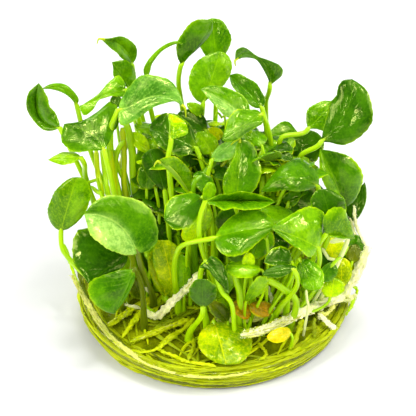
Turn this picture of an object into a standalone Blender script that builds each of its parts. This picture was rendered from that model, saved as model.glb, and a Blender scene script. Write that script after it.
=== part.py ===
"""A clump of small broad-leaved water plants on a round disc of nutrient gel.

Units are metres, +Z is up and -Y is the front. The origin is the middle of the disc's flat
underside. Each leaf is one solid, its petiole and its blade in one loft. Each main root is a tube.
"""

import math

import bmesh
import bpy
import numpy as np

MM = 0.001

# The disc of gel
DISC_RADIUS = 40 * MM
DISC_HEIGHT = 6.4 * MM
RIM_HEIGHT = 7.0 * MM
RIM_RADIUS = 41.4 * MM
RIM_WIDTH = 1.6 * MM
EDGE_ROUND = 0.6 * MM
DISC_STEPS = 44
GAP = 0.35 * MM

# Leaves
FOOT_RADIUS = 1.15 * MM
STEM_RADIUS = 0.8 * MM
STEM_LEAN = 0.6
STEM_STEPS = (0, 0.33, 0.67, 1)
HALF_STEM_STEPS = (0, 0.5)
SECTION_POINTS = 8
BLADE_THICKNESS = 0.55 * MM
BLADE_CROWN = 0.1
BLADE_ARCH = 0.08
BLADE_STATIONS = (0.05, 0.18, 0.36, 0.56, 0.76, 0.93)
WIDEST = 0.42
TIP_SHARPNESS = 0.62
SHARP_EDGE = math.radians(50)

# Roots
ROOT_BEVEL_RESOLUTION = 1
ROOT_STEP = 4.0 * MM

# The sight line, which says where a point of the front view lies in space
VIEW_TILT = math.radians(36)
VIEW_DISTANCE = 400 * MM
VIEW_SCALE = 1361
VIEW_CENTRE = 208
VIEW_TARGET = (-1.8 * MM, 0.0, 34.9 * MM)

UP = np.array([0.0, 0.0, 1.0])


def leaf(base, tip, left, right, foot, mid=None, via=None, widest=WIDEST, twist=0, rise=1):
    """One leaf's places. base, tip, left, right, mid and via are (px, py, back); foot is (x, y) in mm.

    px and py are where the front view shows the place, and back is how many millimetres it lies
    behind the disc's middle. base and tip end the midrib. left and right are the blade's edges
    where it is widest, seen along the midrib with the upper side up. mid is a point of the
    midrib, and via a point of the petiole. twist is the turn of the blade about its midrib from
    base to tip, in degrees. rise is how upright the petiole reaches the blade, from 0, in line
    with it.
    """
    return dict(base=base, tip=tip, left=left, right=right, foot=foot, mid=mid, via=via,
                widest=widest, twist=twist, rise=rise)


LEAVES = {
    # Left and upper left
    "leaf_01": leaf((60, 128, 6), (36, 84, 11), (26, 111, 8), (50, 107, 9), (-30, 0), mid=(38, 114, 12)),
    "leaf_02": leaf((77, 106, 14), (42, 89, 11), (60, 94, 11), (62, 83, 15), (-26, 5), mid=(63, 88, 13)),
    "leaf_03": leaf((122, 85, 13), (80, 110, 5), (112, 98, 8), (110, 80, 14), (-22, 10), widest=0.3),
    "leaf_04": leaf((132, 65, 24), (98, 41, 17), (117, 55, 19), (137, 45, 25), (-14, 21),
                    mid=(122, 47, 23), widest=0.33),
    "leaf_05": leaf((128, 90, 20), (112, 62, 18), (113, 77, 17), (136, 70, 22), (-19, 15)),
    "leaf_06": leaf((119, 109, 2), (186, 112, 4), (154, 76, 11), (134, 121, 0), (-20, 2),
                    mid=(155, 94, 8), widest=0.35),
    "leaf_07": leaf((100, 151, -6), (64, 126, -2), (70, 153, -8), (106, 112, 6), (-25.5, -4)),
    "leaf_08": leaf((81, 158, -7), (48, 160, -9), (68, 166, -11), (60, 153, -5), (-29, -4.5),
                    via=(86, 178, -2)),
    "leaf_09": leaf((61, 231, -9), (77, 177, -6), (49, 204, -6), (89, 204, -8), (-32, -10),
                    via=(64, 252, -11)),
    "leaf_10": leaf((138, 254, -24), (84, 214, -24), (104, 247, -30), (148, 205, -16), (-18, -12),
                    mid=(116, 223, -21)),
    "leaf_11": leaf((128, 252, -20), (89, 284, -29), (118, 274, -26), (76, 236, -19), (-28, -12)),
    "leaf_12": leaf((134, 269, -26.5), (114, 314, -34), (130, 292, -30), (88, 285, -33), (-20.5, -21.5)),
    # Top
    "leaf_13": leaf((147, 80, 16), (182, 41, 22), (149, 62, 16), (157, 61, 20), (-8, 22), mid=(158, 52, 19)),
    "leaf_14": leaf((181, 65, 22), (213, 20, 28), (180, 34, 23), (204, 46, 27), (-3, 25), via=(179, 88, 22)),
    "leaf_15": leaf((216, 62, 31), (212, 18, 36), (199, 42, 32), (232, 40, 33), (-1, 32)),
    "leaf_16": leaf((203, 104, 14), (220, 51, 24), (189, 78, 17), (230, 76, 20), (4, 21)),
    "leaf_17": leaf((246, 118, 8), (201, 89, 10), (218, 111, 5), (238, 90, 13), (10, 10)),
    "leaf_18": leaf((262, 108, 16), (229, 75, 24), (237, 97, 16), (257, 80, 21), (15, 18)),
    "leaf_19": leaf((262, 114, 6), (222, 138, -4), (252, 134, 0), (232, 112, 5), (15, 5)),
    "leaf_20": leaf((270, 86, 22), (237, 66, 15), (262, 70, 21), (284, 68, 23), (18, 29),
                    mid=(254, 56, 20), via=(266, 104, 26), widest=0.2, twist=300),
    # Right
    "leaf_21": leaf((308, 129, 12), (335, 101, 19), (306, 110, 16), (332, 129, 13), (21, 10),
                    via=(280, 140, 9)),
    "leaf_22": leaf((321, 142, 3), (352, 79, 11), (328, 106, 8), (374, 122, 3), (25, 6),
                    mid=(346, 112, 5), via=(300, 158, 5)),
    "leaf_23": leaf((300, 136, 22), (266, 138, 20), (282, 142, 19), (284, 121, 25), (26, 22)),
    "leaf_24": leaf((286, 162, 14), (314, 131, 20), (282, 142, 19), (320, 156, 14), (20, 13)),
    "leaf_25": leaf((344, 207, 4), (320, 149, 8), (321, 176, 3), (364, 172, 8), (29, 3)),
    "leaf_26": leaf((350, 224, 6), (365, 182, 13), (345, 202, 10), (368, 200, 9), (31, 8)),
    "leaf_27": leaf((318, 187, -5), (261, 192, -8), (290, 194, -12), (292, 159, 2), (20, -8),
                    mid=(290, 178, -8)),
    "leaf_28": leaf((312, 208, 0), (270, 202, 0), (290, 217, -3), (292, 190, 4), (18, 0)),
    "leaf_29": leaf((330, 220, -12), (322, 189, -9), (311, 206, -11), (346, 203, -9), (27, -6)),
    "leaf_30": leaf((318, 248, -19), (271, 228, -23), (300, 255, -26), (312, 205, -12), (26.5, -12),
                    widest=0.36),
    "leaf_31": leaf((326, 234, -16), (354, 238, -13), (340, 205, -13), (339, 240, -18), (30, -10)),
    # Middle
    "leaf_32": leaf((205, 202, -17), (275, 202, -14), (242, 192, -14), (240, 210, -20), (3, -15),
                    mid=(240, 201, -11), widest=0.6),
    "leaf_33": leaf((214, 238, -21), (275, 226, -17), (243, 209, -13), (237, 254, -26), (-10.5, -14),
                    via=(178, 250, -19), rise=0),
    "leaf_34": leaf((236, 208, -10), (240, 139, 0), (223, 184, -8), (262, 172, -5), (8, -8)),
    "leaf_35": leaf((203, 197, -10), (164, 220, -20), (195, 224, -19), (174, 194, -13), (-0.5, -8)),
    "leaf_36": leaf((171, 140, -4), (169, 114, 2), (167, 126, -2), (193, 130, -2), (-10, -1),
                    via=(168, 160, -6)),
    "leaf_37": leaf((190, 193, -7), (154, 166, -13), (176, 179, -13), (188, 162, -8), (-8, -5)),
    "leaf_38": leaf((165, 192, -4), (150, 149, 0), (142, 168, -3), (173, 168, 0), (-13, -5)),
    "leaf_39": leaf((196, 148, 0), (150, 128, 4), (170, 153, -3), (178, 115, 6), (-4, 3)),
    "leaf_40": leaf((206, 131, 8), (178, 113, 11), (186, 131, 6), (200, 113, 12), (3, 10.5)),
    "leaf_41": leaf((212, 160, -1), (239, 141, 7), (220, 145, 4), (233, 157, -1), (1, -2)),
    "leaf_42": leaf((212, 154, 3), (198, 132, 6), (194, 148, 2), (217, 139, 6), (1, 5)),
    # Low, at the front
    "leaf_43": leaf((252, 260, -21), (262, 229, -14), (249, 244, -19), (274, 244, -16), (12, -15)),
    "leaf_44": leaf((300, 260, -23), (314, 291, -31), (324, 270, -26), (298, 282, -28), (21, -19)),
    "leaf_45": leaf((294, 270, -30), (262, 274, -32), (278, 280, -33), (279, 263, -28), (17, -20)),
    "leaf_46": leaf((343, 262, -6), (362, 243, -2), (350, 237, 0), (361, 256, -4), (33, -8)),
    "leaf_47": leaf((206, 262, -27), (229, 293, -33), (226, 265, -27), (203, 275, -30), (-2, -24),
                    widest=0.3),
    "leaf_48": leaf((203, 307, -33), (202, 279, -33), (189, 292, -34), (217, 292, -34), (-7.5, -26)),
    "leaf_49": leaf((214, 322, -25), (226, 365, -38.2), (255, 343, -31), (197, 341, -31), (2, -25)),
    "leaf_50": leaf((166, 298, -14), (154, 246, -9), (149, 270, -13), (177, 266, -11), (-13, -10)),
    # At the back
    "leaf_51": leaf((170, 150, 27), (158, 128, 39), (152, 142, 32), (180, 136, 35), (-15, 30)),
    "leaf_52": leaf((232, 142, 26), (236, 120, 38), (219, 132, 33), (250, 132, 31), (9, 26)),
    "leaf_53": leaf((282, 166, 27), (300, 145, 37), (274, 152, 34), (306, 160, 31), (20, 28)),
}

# The places that each root passes, as (px, py, height above the gel in mm), and its thickness in mm
ROOTS = {
    "root_rim": ([(72, 275, 11.5), (80, 290, 9.5), (90, 307, 7.5), (105, 330, 4.5), (120, 345, 2.5),
                  (138, 357, 1.5)], 1.6),
    "root_main": ([(241, 335, 7.5), (256, 332, 6.5), (275, 325, 5), (300, 313, 5), (320, 305, 4.5),
                   (340, 297, 5), (352, 280, 9), (361, 262, 14), (368, 246, 18)], 2.4),
    "root_strand": ([(216, 320, 3), (240, 320, 2.5), (262, 318, 2.5), (280, 311, 2.5),
                     (293, 305, 2.5)], 1.6),
    "root_elbow": ([(202, 271, 18), (190, 285, 15), (172, 302, 9), (157, 316, 3), (146, 309, 2.5)], 1.8),
    "root_left": ([(107, 327, 1.4), (125, 314, 1.4), (140, 304, 1.4), (158, 294, 1.4)], 1.8),
    "root_front": ([(130, 342, 1.3), (148, 335, 1.3), (165, 329, 1.3), (190, 319, 1.3)], 1.6),
}


def seen(px, y, up):
    """The point at y, and up above the view's target, that the front view shows in column px."""
    depth = VIEW_DISTANCE + y * math.cos(VIEW_TILT) - up * math.sin(VIEW_TILT)
    x = VIEW_TARGET[0] + (px - VIEW_CENTRE) / VIEW_SCALE * depth
    return np.array([x, y, VIEW_TARGET[2] + up])


def at_depth(px, py, back):
    """The point that the front view shows at (px, py), back millimetres behind the disc's middle."""
    rise = (VIEW_CENTRE - py) / VIEW_SCALE
    cos, sin = math.cos(VIEW_TILT), math.sin(VIEW_TILT)
    y = back * MM
    up = (rise * VIEW_DISTANCE + y * (rise * cos - sin)) / (cos + rise * sin)
    return seen(px, y, up)


def at_height(px, py, height):
    """The point that the front view shows at (px, py), height millimetres above the gel."""
    rise = (VIEW_CENTRE - py) / VIEW_SCALE
    cos, sin = math.cos(VIEW_TILT), math.sin(VIEW_TILT)
    up = DISC_HEIGHT + height * MM - VIEW_TARGET[2]
    y = (up * (cos + rise * sin) - rise * VIEW_DISTANCE) / (rise * cos - sin)
    return seen(px, y, up)


def unit(vector):
    return vector / np.linalg.norm(vector)


def turned(vector, axis, angle):
    """The vector turned about the axis by the angle."""
    along_axis = axis * np.dot(vector, axis)
    across = vector - along_axis
    return along_axis + across * math.cos(angle) + np.cross(axis, across) * math.sin(angle)


def midrib(spec):
    """Base, control point and tip of the blade's midrib, a quadratic curve."""
    base, tip = at_depth(*spec["base"]), at_depth(*spec["tip"])
    if spec["mid"]:
        return base, 2 * at_depth(*spec["mid"]) - (base + tip) / 2, tip
    across = at_depth(*spec["right"]) - at_depth(*spec["left"])
    arch = unit(np.cross(across, tip - base)) * BLADE_ARCH * np.linalg.norm(tip - base)
    return base, (base + tip) / 2 + arch, tip


def along(curve, s):
    """Point and direction of a quadratic curve at s, from 0 to 1."""
    a, b, c = curve
    point = (1 - s) ** 2 * a + 2 * s * (1 - s) * b + s * s * c
    return point, unit((1 - s) * (b - a) + s * (c - b))


def fullness(s, widest):
    """Half-width of the blade at s as a share of its greatest."""
    base_power = TIP_SHARPNESS * widest / (1 - widest)
    return (s / widest) ** base_power * ((1 - s) / (1 - widest)) ** TIP_SHARPNESS


def round_section(centre, direction, side, radius):
    """The points round a petiole, from its left over its upper side."""
    side = unit(side - np.dot(side, direction) * direction)
    top = np.cross(side, direction)
    angles = [math.pi * (1 - 2 * k / SECTION_POINTS) for k in range(SECTION_POINTS)]
    return [centre + radius * (math.cos(a) * side + math.sin(a) * top) for a in angles]


def blade_section(spec, curve, s):
    """Eight points round the blade, from its left edge over its upper side. Each half is crowned."""
    centre, direction = along(curve, s)
    widest_centre = along(curve, spec["widest"])[0]
    share = fullness(s, spec["widest"])
    turn = math.radians(spec["twist"]) * (s - spec["widest"])
    edges = []
    for place in (spec["left"], spec["right"]):
        reach = turned(at_depth(*place) - widest_centre, direction, turn)
        edges.append(reach * max(share, STEM_RADIUS / np.linalg.norm(reach)))
    left, right = edges
    top = unit(np.cross(right - left, direction))
    crown = top * BLADE_CROWN * np.linalg.norm(right - left) / 2
    half = top * BLADE_THICKNESS / 2
    middle = [left / 2 + crown, 0 * left, right / 2 + crown]
    upper = [centre + m + half for m in middle]
    lower = [centre + m - half for m in reversed(middle)]
    return [centre + left] + upper + [centre + right] + lower


def smooth_between(a, b, leaving, arriving, steps):
    """Points of the smooth curve from a to b that leaves and arrives in the given directions."""
    length = np.linalg.norm(b - a)
    points = []
    for t in steps:
        points.append((2 * t**3 - 3 * t**2 + 1) * a + (t**3 - 2 * t**2 + t) * length * leaving
                      + (3 * t**2 - 2 * t**3) * b + (t**3 - t**2) * length * arriving)
    return points


def petiole_points(spec, curve):
    """Points of the petiole's middle line, from its foot to the blade's base."""
    base, direction = along(curve, 0)
    foot = np.array([spec["foot"][0] * MM, spec["foot"][1] * MM, DISC_HEIGHT + GAP])
    arriving = unit(spec["rise"] * UP + STEM_LEAN * direction)
    if not spec["via"]:
        return smooth_between(foot, base, UP, arriving, STEM_STEPS)
    via = at_depth(*spec["via"])
    passing = unit(base - foot)
    lower = smooth_between(foot, via, UP, passing, HALF_STEM_STEPS)
    return lower + smooth_between(via, base, passing, arriving, HALF_STEM_STEPS + (1,))


def leaf_rings(spec):
    """The sections of a leaf from its foot to its last section, and its tip."""
    curve = midrib(spec)
    side = at_depth(*spec["right"]) - at_depth(*spec["left"])
    points = petiole_points(spec, curve)
    last = len(points) - 1
    rings = []
    for i, point in enumerate(points):
        direction = unit(points[min(i + 1, last)] - points[i - 1]) if i else UP
        taper = min(1, 2 * i / last)
        radius = FOOT_RADIUS + (STEM_RADIUS - FOOT_RADIUS) * taper
        rings.append(round_section(point, direction, side, radius))
    rings += [blade_section(spec, curve, s) for s in BLADE_STATIONS]
    return rings, curve[2]


def loft(name, rings, tip, collection, material):
    """A closed solid through the rings, with a flat foot and a pointed tip."""
    mesh = bpy.data.meshes.new(name)
    bm = bmesh.new()
    rows = [[bm.verts.new(point) for point in ring] for ring in rings]
    end = bm.verts.new(tip)
    following = [(k + 1) % SECTION_POINTS for k in range(SECTION_POINTS)]
    for low, high in zip(rows, rows[1:]):
        for k, n in enumerate(following):
            bm.faces.new((low[k], low[n], high[n], high[k]))
    for k, n in enumerate(following):
        bm.faces.new((rows[-1][k], rows[-1][n], end))
    bm.faces.new(list(reversed(rows[0])))
    bm.to_mesh(mesh)
    bm.free()
    mesh.materials.append(material)
    mesh.shade_smooth()
    mesh.set_sharp_from_angle(angle=SHARP_EDGE)
    obj = bpy.data.objects.new(name, mesh)
    collection.objects.link(obj)


def smooth_route(points, step):
    """Points about step apart on a smooth curve through the given points."""
    padded = [2 * points[0] - points[1]] + points + [2 * points[-1] - points[-2]]
    route = []
    for a, b, c, d in zip(padded, padded[1:], padded[2:], padded[3:]):
        pieces = max(1, round(np.linalg.norm(c - b) / step))
        for k in range(pieces):
            t = k / pieces
            route.append(0.5 * (2 * b + (c - a) * t + (2 * a - 5 * b + 4 * c - d) * t * t
                                + (3 * b - a - 3 * c + d) * t**3))
    return route + [points[-1]]


def root(name, places, thickness, collection, material):
    """A root as a tube through its places."""
    route = smooth_route([at_height(*place) for place in places], ROOT_STEP)
    curve = bpy.data.curves.new(name, "CURVE")
    curve.dimensions = "3D"
    curve.bevel_depth = thickness / 2 * MM
    curve.bevel_resolution = ROOT_BEVEL_RESOLUTION
    curve.use_fill_caps = True
    spline = curve.splines.new("POLY")
    spline.points.add(len(route) - 1)
    for point, place in zip(spline.points, route):
        point.co = (*place, 1)
    curve.materials.append(material)
    obj = bpy.data.objects.new(name, curve)
    collection.objects.link(obj)


def gel_disc(collection, material):
    """The disc of gel: flat below, a little wider at its rim, which stands up slightly."""
    profile = [
        (0, DISC_HEIGHT),
        (RIM_RADIUS - 2 * RIM_WIDTH, DISC_HEIGHT),
        (RIM_RADIUS - RIM_WIDTH, RIM_HEIGHT),
        (RIM_RADIUS, RIM_HEIGHT),
        (DISC_RADIUS, EDGE_ROUND),
        (DISC_RADIUS - EDGE_ROUND, 0),
        (0, 0),
    ]
    mesh = bpy.data.meshes.new("gel_disc")
    edges = [(i, i + 1) for i in range(len(profile) - 1)]
    mesh.from_pydata([(r, 0, z) for r, z in profile], edges, [])
    mesh.materials.append(material)
    obj = bpy.data.objects.new("gel_disc", mesh)
    collection.objects.link(obj)
    screw = obj.modifiers.new("turn", "SCREW")
    screw.steps = screw.render_steps = DISC_STEPS
    screw.use_merge_vertices = True
    screw.merge_threshold = 0.01 * MM


def surface(name, colour, roughness):
    material = bpy.data.materials.new(name)
    material.use_nodes = True
    shader = material.node_tree.nodes["Principled BSDF"]
    shader.inputs["Base Color"].default_value = (*colour, 1)
    shader.inputs["Roughness"].default_value = roughness
    shader.inputs["Metallic"].default_value = 0
    return material


def clear_scene():
    for obj in list(bpy.data.objects):
        bpy.data.objects.remove(obj, do_unlink=True)


def build():
    clear_scene()
    plant = bpy.data.collections.new("schismatoglottis")
    bpy.context.scene.collection.children.link(plant)
    leaf_green = surface("leaf_green", (0.13, 0.45, 0.01), 0.3)
    root_cream = surface("root_cream", (0.75, 0.8, 0.45), 0.6)
    gel = surface("gel", (0.4, 0.5, 0.05), 0.15)
    gel_disc(plant, gel)
    for name, spec in LEAVES.items():
        rings, tip = leaf_rings(spec)
        loft(name, rings, tip, plant, leaf_green)
    for name, (places, thickness) in ROOTS.items():
        root(name, places, thickness, plant, root_cream)


build()
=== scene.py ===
"""Looks of a clump of small broad-leaved water plants on a round disc of nutrient gel.

Units are metres, +Z is up and -Y is the front. Every leaf, root and the gel stand where their
solids stand, with finer shapes and finished surfaces.
"""

import math

import bpy
import numpy as np
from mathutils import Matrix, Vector


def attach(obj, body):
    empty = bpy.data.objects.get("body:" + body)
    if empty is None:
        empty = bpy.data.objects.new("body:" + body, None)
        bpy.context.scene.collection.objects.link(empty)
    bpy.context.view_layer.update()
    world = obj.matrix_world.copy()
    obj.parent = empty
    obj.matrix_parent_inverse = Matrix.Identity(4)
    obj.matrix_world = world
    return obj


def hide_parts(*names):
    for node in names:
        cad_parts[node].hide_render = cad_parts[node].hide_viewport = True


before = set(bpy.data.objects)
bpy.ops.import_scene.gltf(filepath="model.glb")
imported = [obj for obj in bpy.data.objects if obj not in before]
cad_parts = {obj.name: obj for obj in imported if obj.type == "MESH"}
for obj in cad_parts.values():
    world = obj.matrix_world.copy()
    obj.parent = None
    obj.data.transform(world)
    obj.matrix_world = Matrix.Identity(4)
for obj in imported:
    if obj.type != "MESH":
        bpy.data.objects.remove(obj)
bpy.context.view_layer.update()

MM = 0.001
UP = np.array([0.0, 0.0, 1.0])

# A direction that no tube starts in, to find a side of it, and the length of tube that one unit of
# its map covers
ANY_SIDE = (0.31, 0.52, 0.79)
TUBE_MAP_LENGTH = 10 * MM

# The gel: its top and its rim, and the height inside it where the petioles start
GEL_TOP = 6.4 * MM
GEL_RADIUS = 40 * MM
RIM_RADIUS = 41.4 * MM
RIM_TOP = 7.0 * MM
FOOT_HEIGHT = GEL_TOP - 0.5 * MM
GEL_TURNS = 96

# The gel's profile, as radius and height: the slope up to its rim, its whole top from the middle
# outwards, and its wall from the foot upwards
RIM_SLOPE = [(38.2 * MM, GEL_TOP), (39.8 * MM, RIM_TOP)]
GEL_SURFACE = [(0.0, GEL_TOP), (12 * MM, GEL_TOP), (24 * MM, GEL_TOP), (33 * MM, GEL_TOP),
               *RIM_SLOPE, (41.0 * MM, RIM_TOP)]
GEL_WALL = [(39.4 * MM, 0.0), (GEL_RADIUS, 0.6 * MM), (40.4 * MM, 2.2 * MM), (41.0 * MM, 4.5 * MM),
            (RIM_RADIUS, 6.6 * MM)]

# Petioles: thicker at the foot, over 1 / FOOT_TAPER of their length, and leaning with the blade
STEM_RADIUS = 0.75 * MM
FOOT_RADIUS = 1.25 * MM
FOOT_TAPER = 2.2
STEM_LEAN = 0.6

# Midribs under the blades: their first radii as shares of the petiole's, where they end as a share
# of the blade's length, and how pale they get
RIB_START = np.array([0.85, 0.7, 0.6])
RIB_END_RADIUS = 0.16 * MM
RIB_END = 0.86
RIB_PALENESS = 0.75
DRIP_RADII = (0.45 * MM, 0.16 * MM)

# Blades: where they are widest and how they arch, and as shares of their half-width how far each
# half bulges, how far the margin waves, and how deep the dents, pleats and notches are
BLADE_THICKNESS = 0.42 * MM
MARGIN_THICKNESS = 0.04 * MM
BLADE_ARCH = 0.08
WIDEST = 0.42
TIP_SHARPNESS = 0.62
CROWN = 0.12
RIPPLE = 0.035
DENTS = 0.014
PLEATS = 0.004
NOTCHES = 0.03
GROOVE_DEPTH = 0.1 * MM
GROOVE_WIDTH = 0.5 * MM

# How many radians of waves a blade has from its base to its tip, two sets of each kind
RIPPLE_WAVES = (14, 23)
DENT_WAVES = (11, 19)
NOTCH_WAVES = (47, 29)
PLEAT_WAVES = 60

# The side veins' slant and bend, the same in the shape and in the surface
VEIN_SLANT = 0.42
VEIN_BEND = 0.75

# How stiff a blade's plane and its bend are, in pixels squared: the less, the closer they keep to
# the leaf's given places
PLANE_STIFFNESS = 30
BEND_STIFFNESS = 4

# How finely the pieces are divided
STATIONS = 36
ACROSS = 22
SMALL_STATIONS = 16
SMALL_ACROSS = 10
TUBE_SIDES = 10
SMALL_SIDES = 6
STEM_POINTS = 14
HALF_STEM_POINTS = 9
SMALL_STEM_POINTS = 10
SHARP_EDGE = math.radians(60)

# The small leaves' petioles: their size as a share of the others', and the foot's radius and the
# least and greatest radius in mm of those that are placed at random
SMALL_STEM = 0.6
SPROUT_FOOT = 0.8 * MM
SPROUT_STEMS = (0.4, 0.65)

# The sight line, which says where a point of the front view lies in space
VIEW_TILT = math.radians(36)
VIEW_DISTANCE = 400 * MM
VIEW_SCALE = 1361
VIEW_CENTRE = 208
VIEW_TARGET = (-1.8 * MM, 0.0, 34.9 * MM)
IMAGE_SIDE = 416
SENSOR = 36

# Colours, as linear red, green and blue
COLOURS = {
    "dark": (0.040, 0.158, 0.001),
    "deep": (0.083, 0.270, 0.001),
    "green": (0.108, 0.318, 0.001),
    "fresh": (0.140, 0.375, 0.001),
    "spring": (0.182, 0.425, 0.001),
    "bright": (0.218, 0.475, 0.001),
    # The next colour is a paler, whitish green: painted sheen, put on one half of leaves 10 and 17
    "painted_sheen": (0.330, 0.580, 0.100),
    # The next colour is a paler green with a little white: a waxy bloom that also paints the whitish
    # sheen of leaves 06 and 41
    "pale": (0.210, 0.510, 0.050),
    "lime": (0.480, 0.780, 0.001),
    "lemon": (0.470, 0.600, 0.001),
    "yellow": (0.570, 0.690, 0.001),
    "rust": (0.620, 0.340, 0.002),
    "amber": (0.600, 0.500, 0.002),
    "olive": (0.120, 0.165, 0.001),
    "moss": (0.270, 0.360, 0.001),
    "citron": (0.420, 0.520, 0.001),
    "straw": (0.760, 0.800, 0.160),
    "cream": (0.960, 0.980, 0.480),
}
TONES = {name: np.array(colour) for name, colour in COLOURS.items()}
LIME = TONES["lime"]

# The pale margin's width as a share of the half-width and its strength, how far up from its base a
# blade is paler, how sharply its halves' colours meet where one half is painted lighter or darker
# shade, and how much one leaf differs from the next
EDGE_WIDTH = 0.14
EDGE_STRENGTH = 0.8
PALE_BASE = 0.14
HALVES_CONTRAST = 2.5
TONE_SPREAD = (0.88, 1.12)


def seen(px, y, up):
    """The point at y, and up above the view's target, that the front view shows in column px."""
    depth = VIEW_DISTANCE + y * math.cos(VIEW_TILT) - up * math.sin(VIEW_TILT)
    x = VIEW_TARGET[0] + (px - VIEW_CENTRE) / VIEW_SCALE * depth
    return np.array([x, y, VIEW_TARGET[2] + up])


def at_depth(px, py, back):
    """The point that the front view shows at (px, py), back millimetres behind the disc's middle."""
    rise = (VIEW_CENTRE - py) / VIEW_SCALE
    cos, sin = math.cos(VIEW_TILT), math.sin(VIEW_TILT)
    y = back * MM
    up = (rise * VIEW_DISTANCE + y * (rise * cos - sin)) / (cos + rise * sin)
    return seen(px, y, up)


def at_height(px, py, height):
    """The point that the front view shows at (px, py), height millimetres above the gel."""
    rise = (VIEW_CENTRE - py) / VIEW_SCALE
    cos, sin = math.cos(VIEW_TILT), math.sin(VIEW_TILT)
    up = GEL_TOP + height * MM - VIEW_TARGET[2]
    y = (up * (cos + rise * sin) - rise * VIEW_DISTANCE) / (rise * cos - sin)
    return seen(px, y, up)


def in_gel(foot):
    """The point just under the gel's top where a petiole starts, for a foot (x, y) in mm."""
    return np.array([foot[0] * MM, foot[1] * MM, FOOT_HEIGHT])


def shown_at(point):
    """Where the front view shows a point, as (px, py)."""
    offset = np.asarray(point) - np.array(VIEW_TARGET)
    cos, sin = math.cos(VIEW_TILT), math.sin(VIEW_TILT)
    depth = VIEW_DISTANCE + offset[1] * cos - offset[2] * sin
    rise = offset[2] * cos + offset[1] * sin
    return VIEW_CENTRE + VIEW_SCALE * offset[0] / depth, VIEW_CENTRE - VIEW_SCALE * rise / depth


def leaf(base, tip, left, right, foot, mid=None, via=None, widest=WIDEST, rise=1, **looks):
    """One leaf's places, as in the solids: (px, py, back), and (x, y) in mm for the foot.

    mid is a place of the midrib, via one of the petiole, and rise says how upright the petiole
    meets the blade. looks may hold left_edge, right_edge and rib, the places (px, py) that the
    margins and the midrib pass in the front view, drip, the places that the thin end of the tip
    passes, tone, right_tone, edge and stem_tone, the colours of the blade, of its right
    half as painted lighter or darker shade, of its margin and of the petiole, and crown, dents and
    ripple in place of the usual ones.
    its margin and of the petiole, and crown, dents and ripple in place of the usual ones.
    """
    return dict(base=base, tip=tip, left=left, right=right, foot=foot, mid=mid, via=via,
                widest=widest, rise=rise, **looks)


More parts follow.
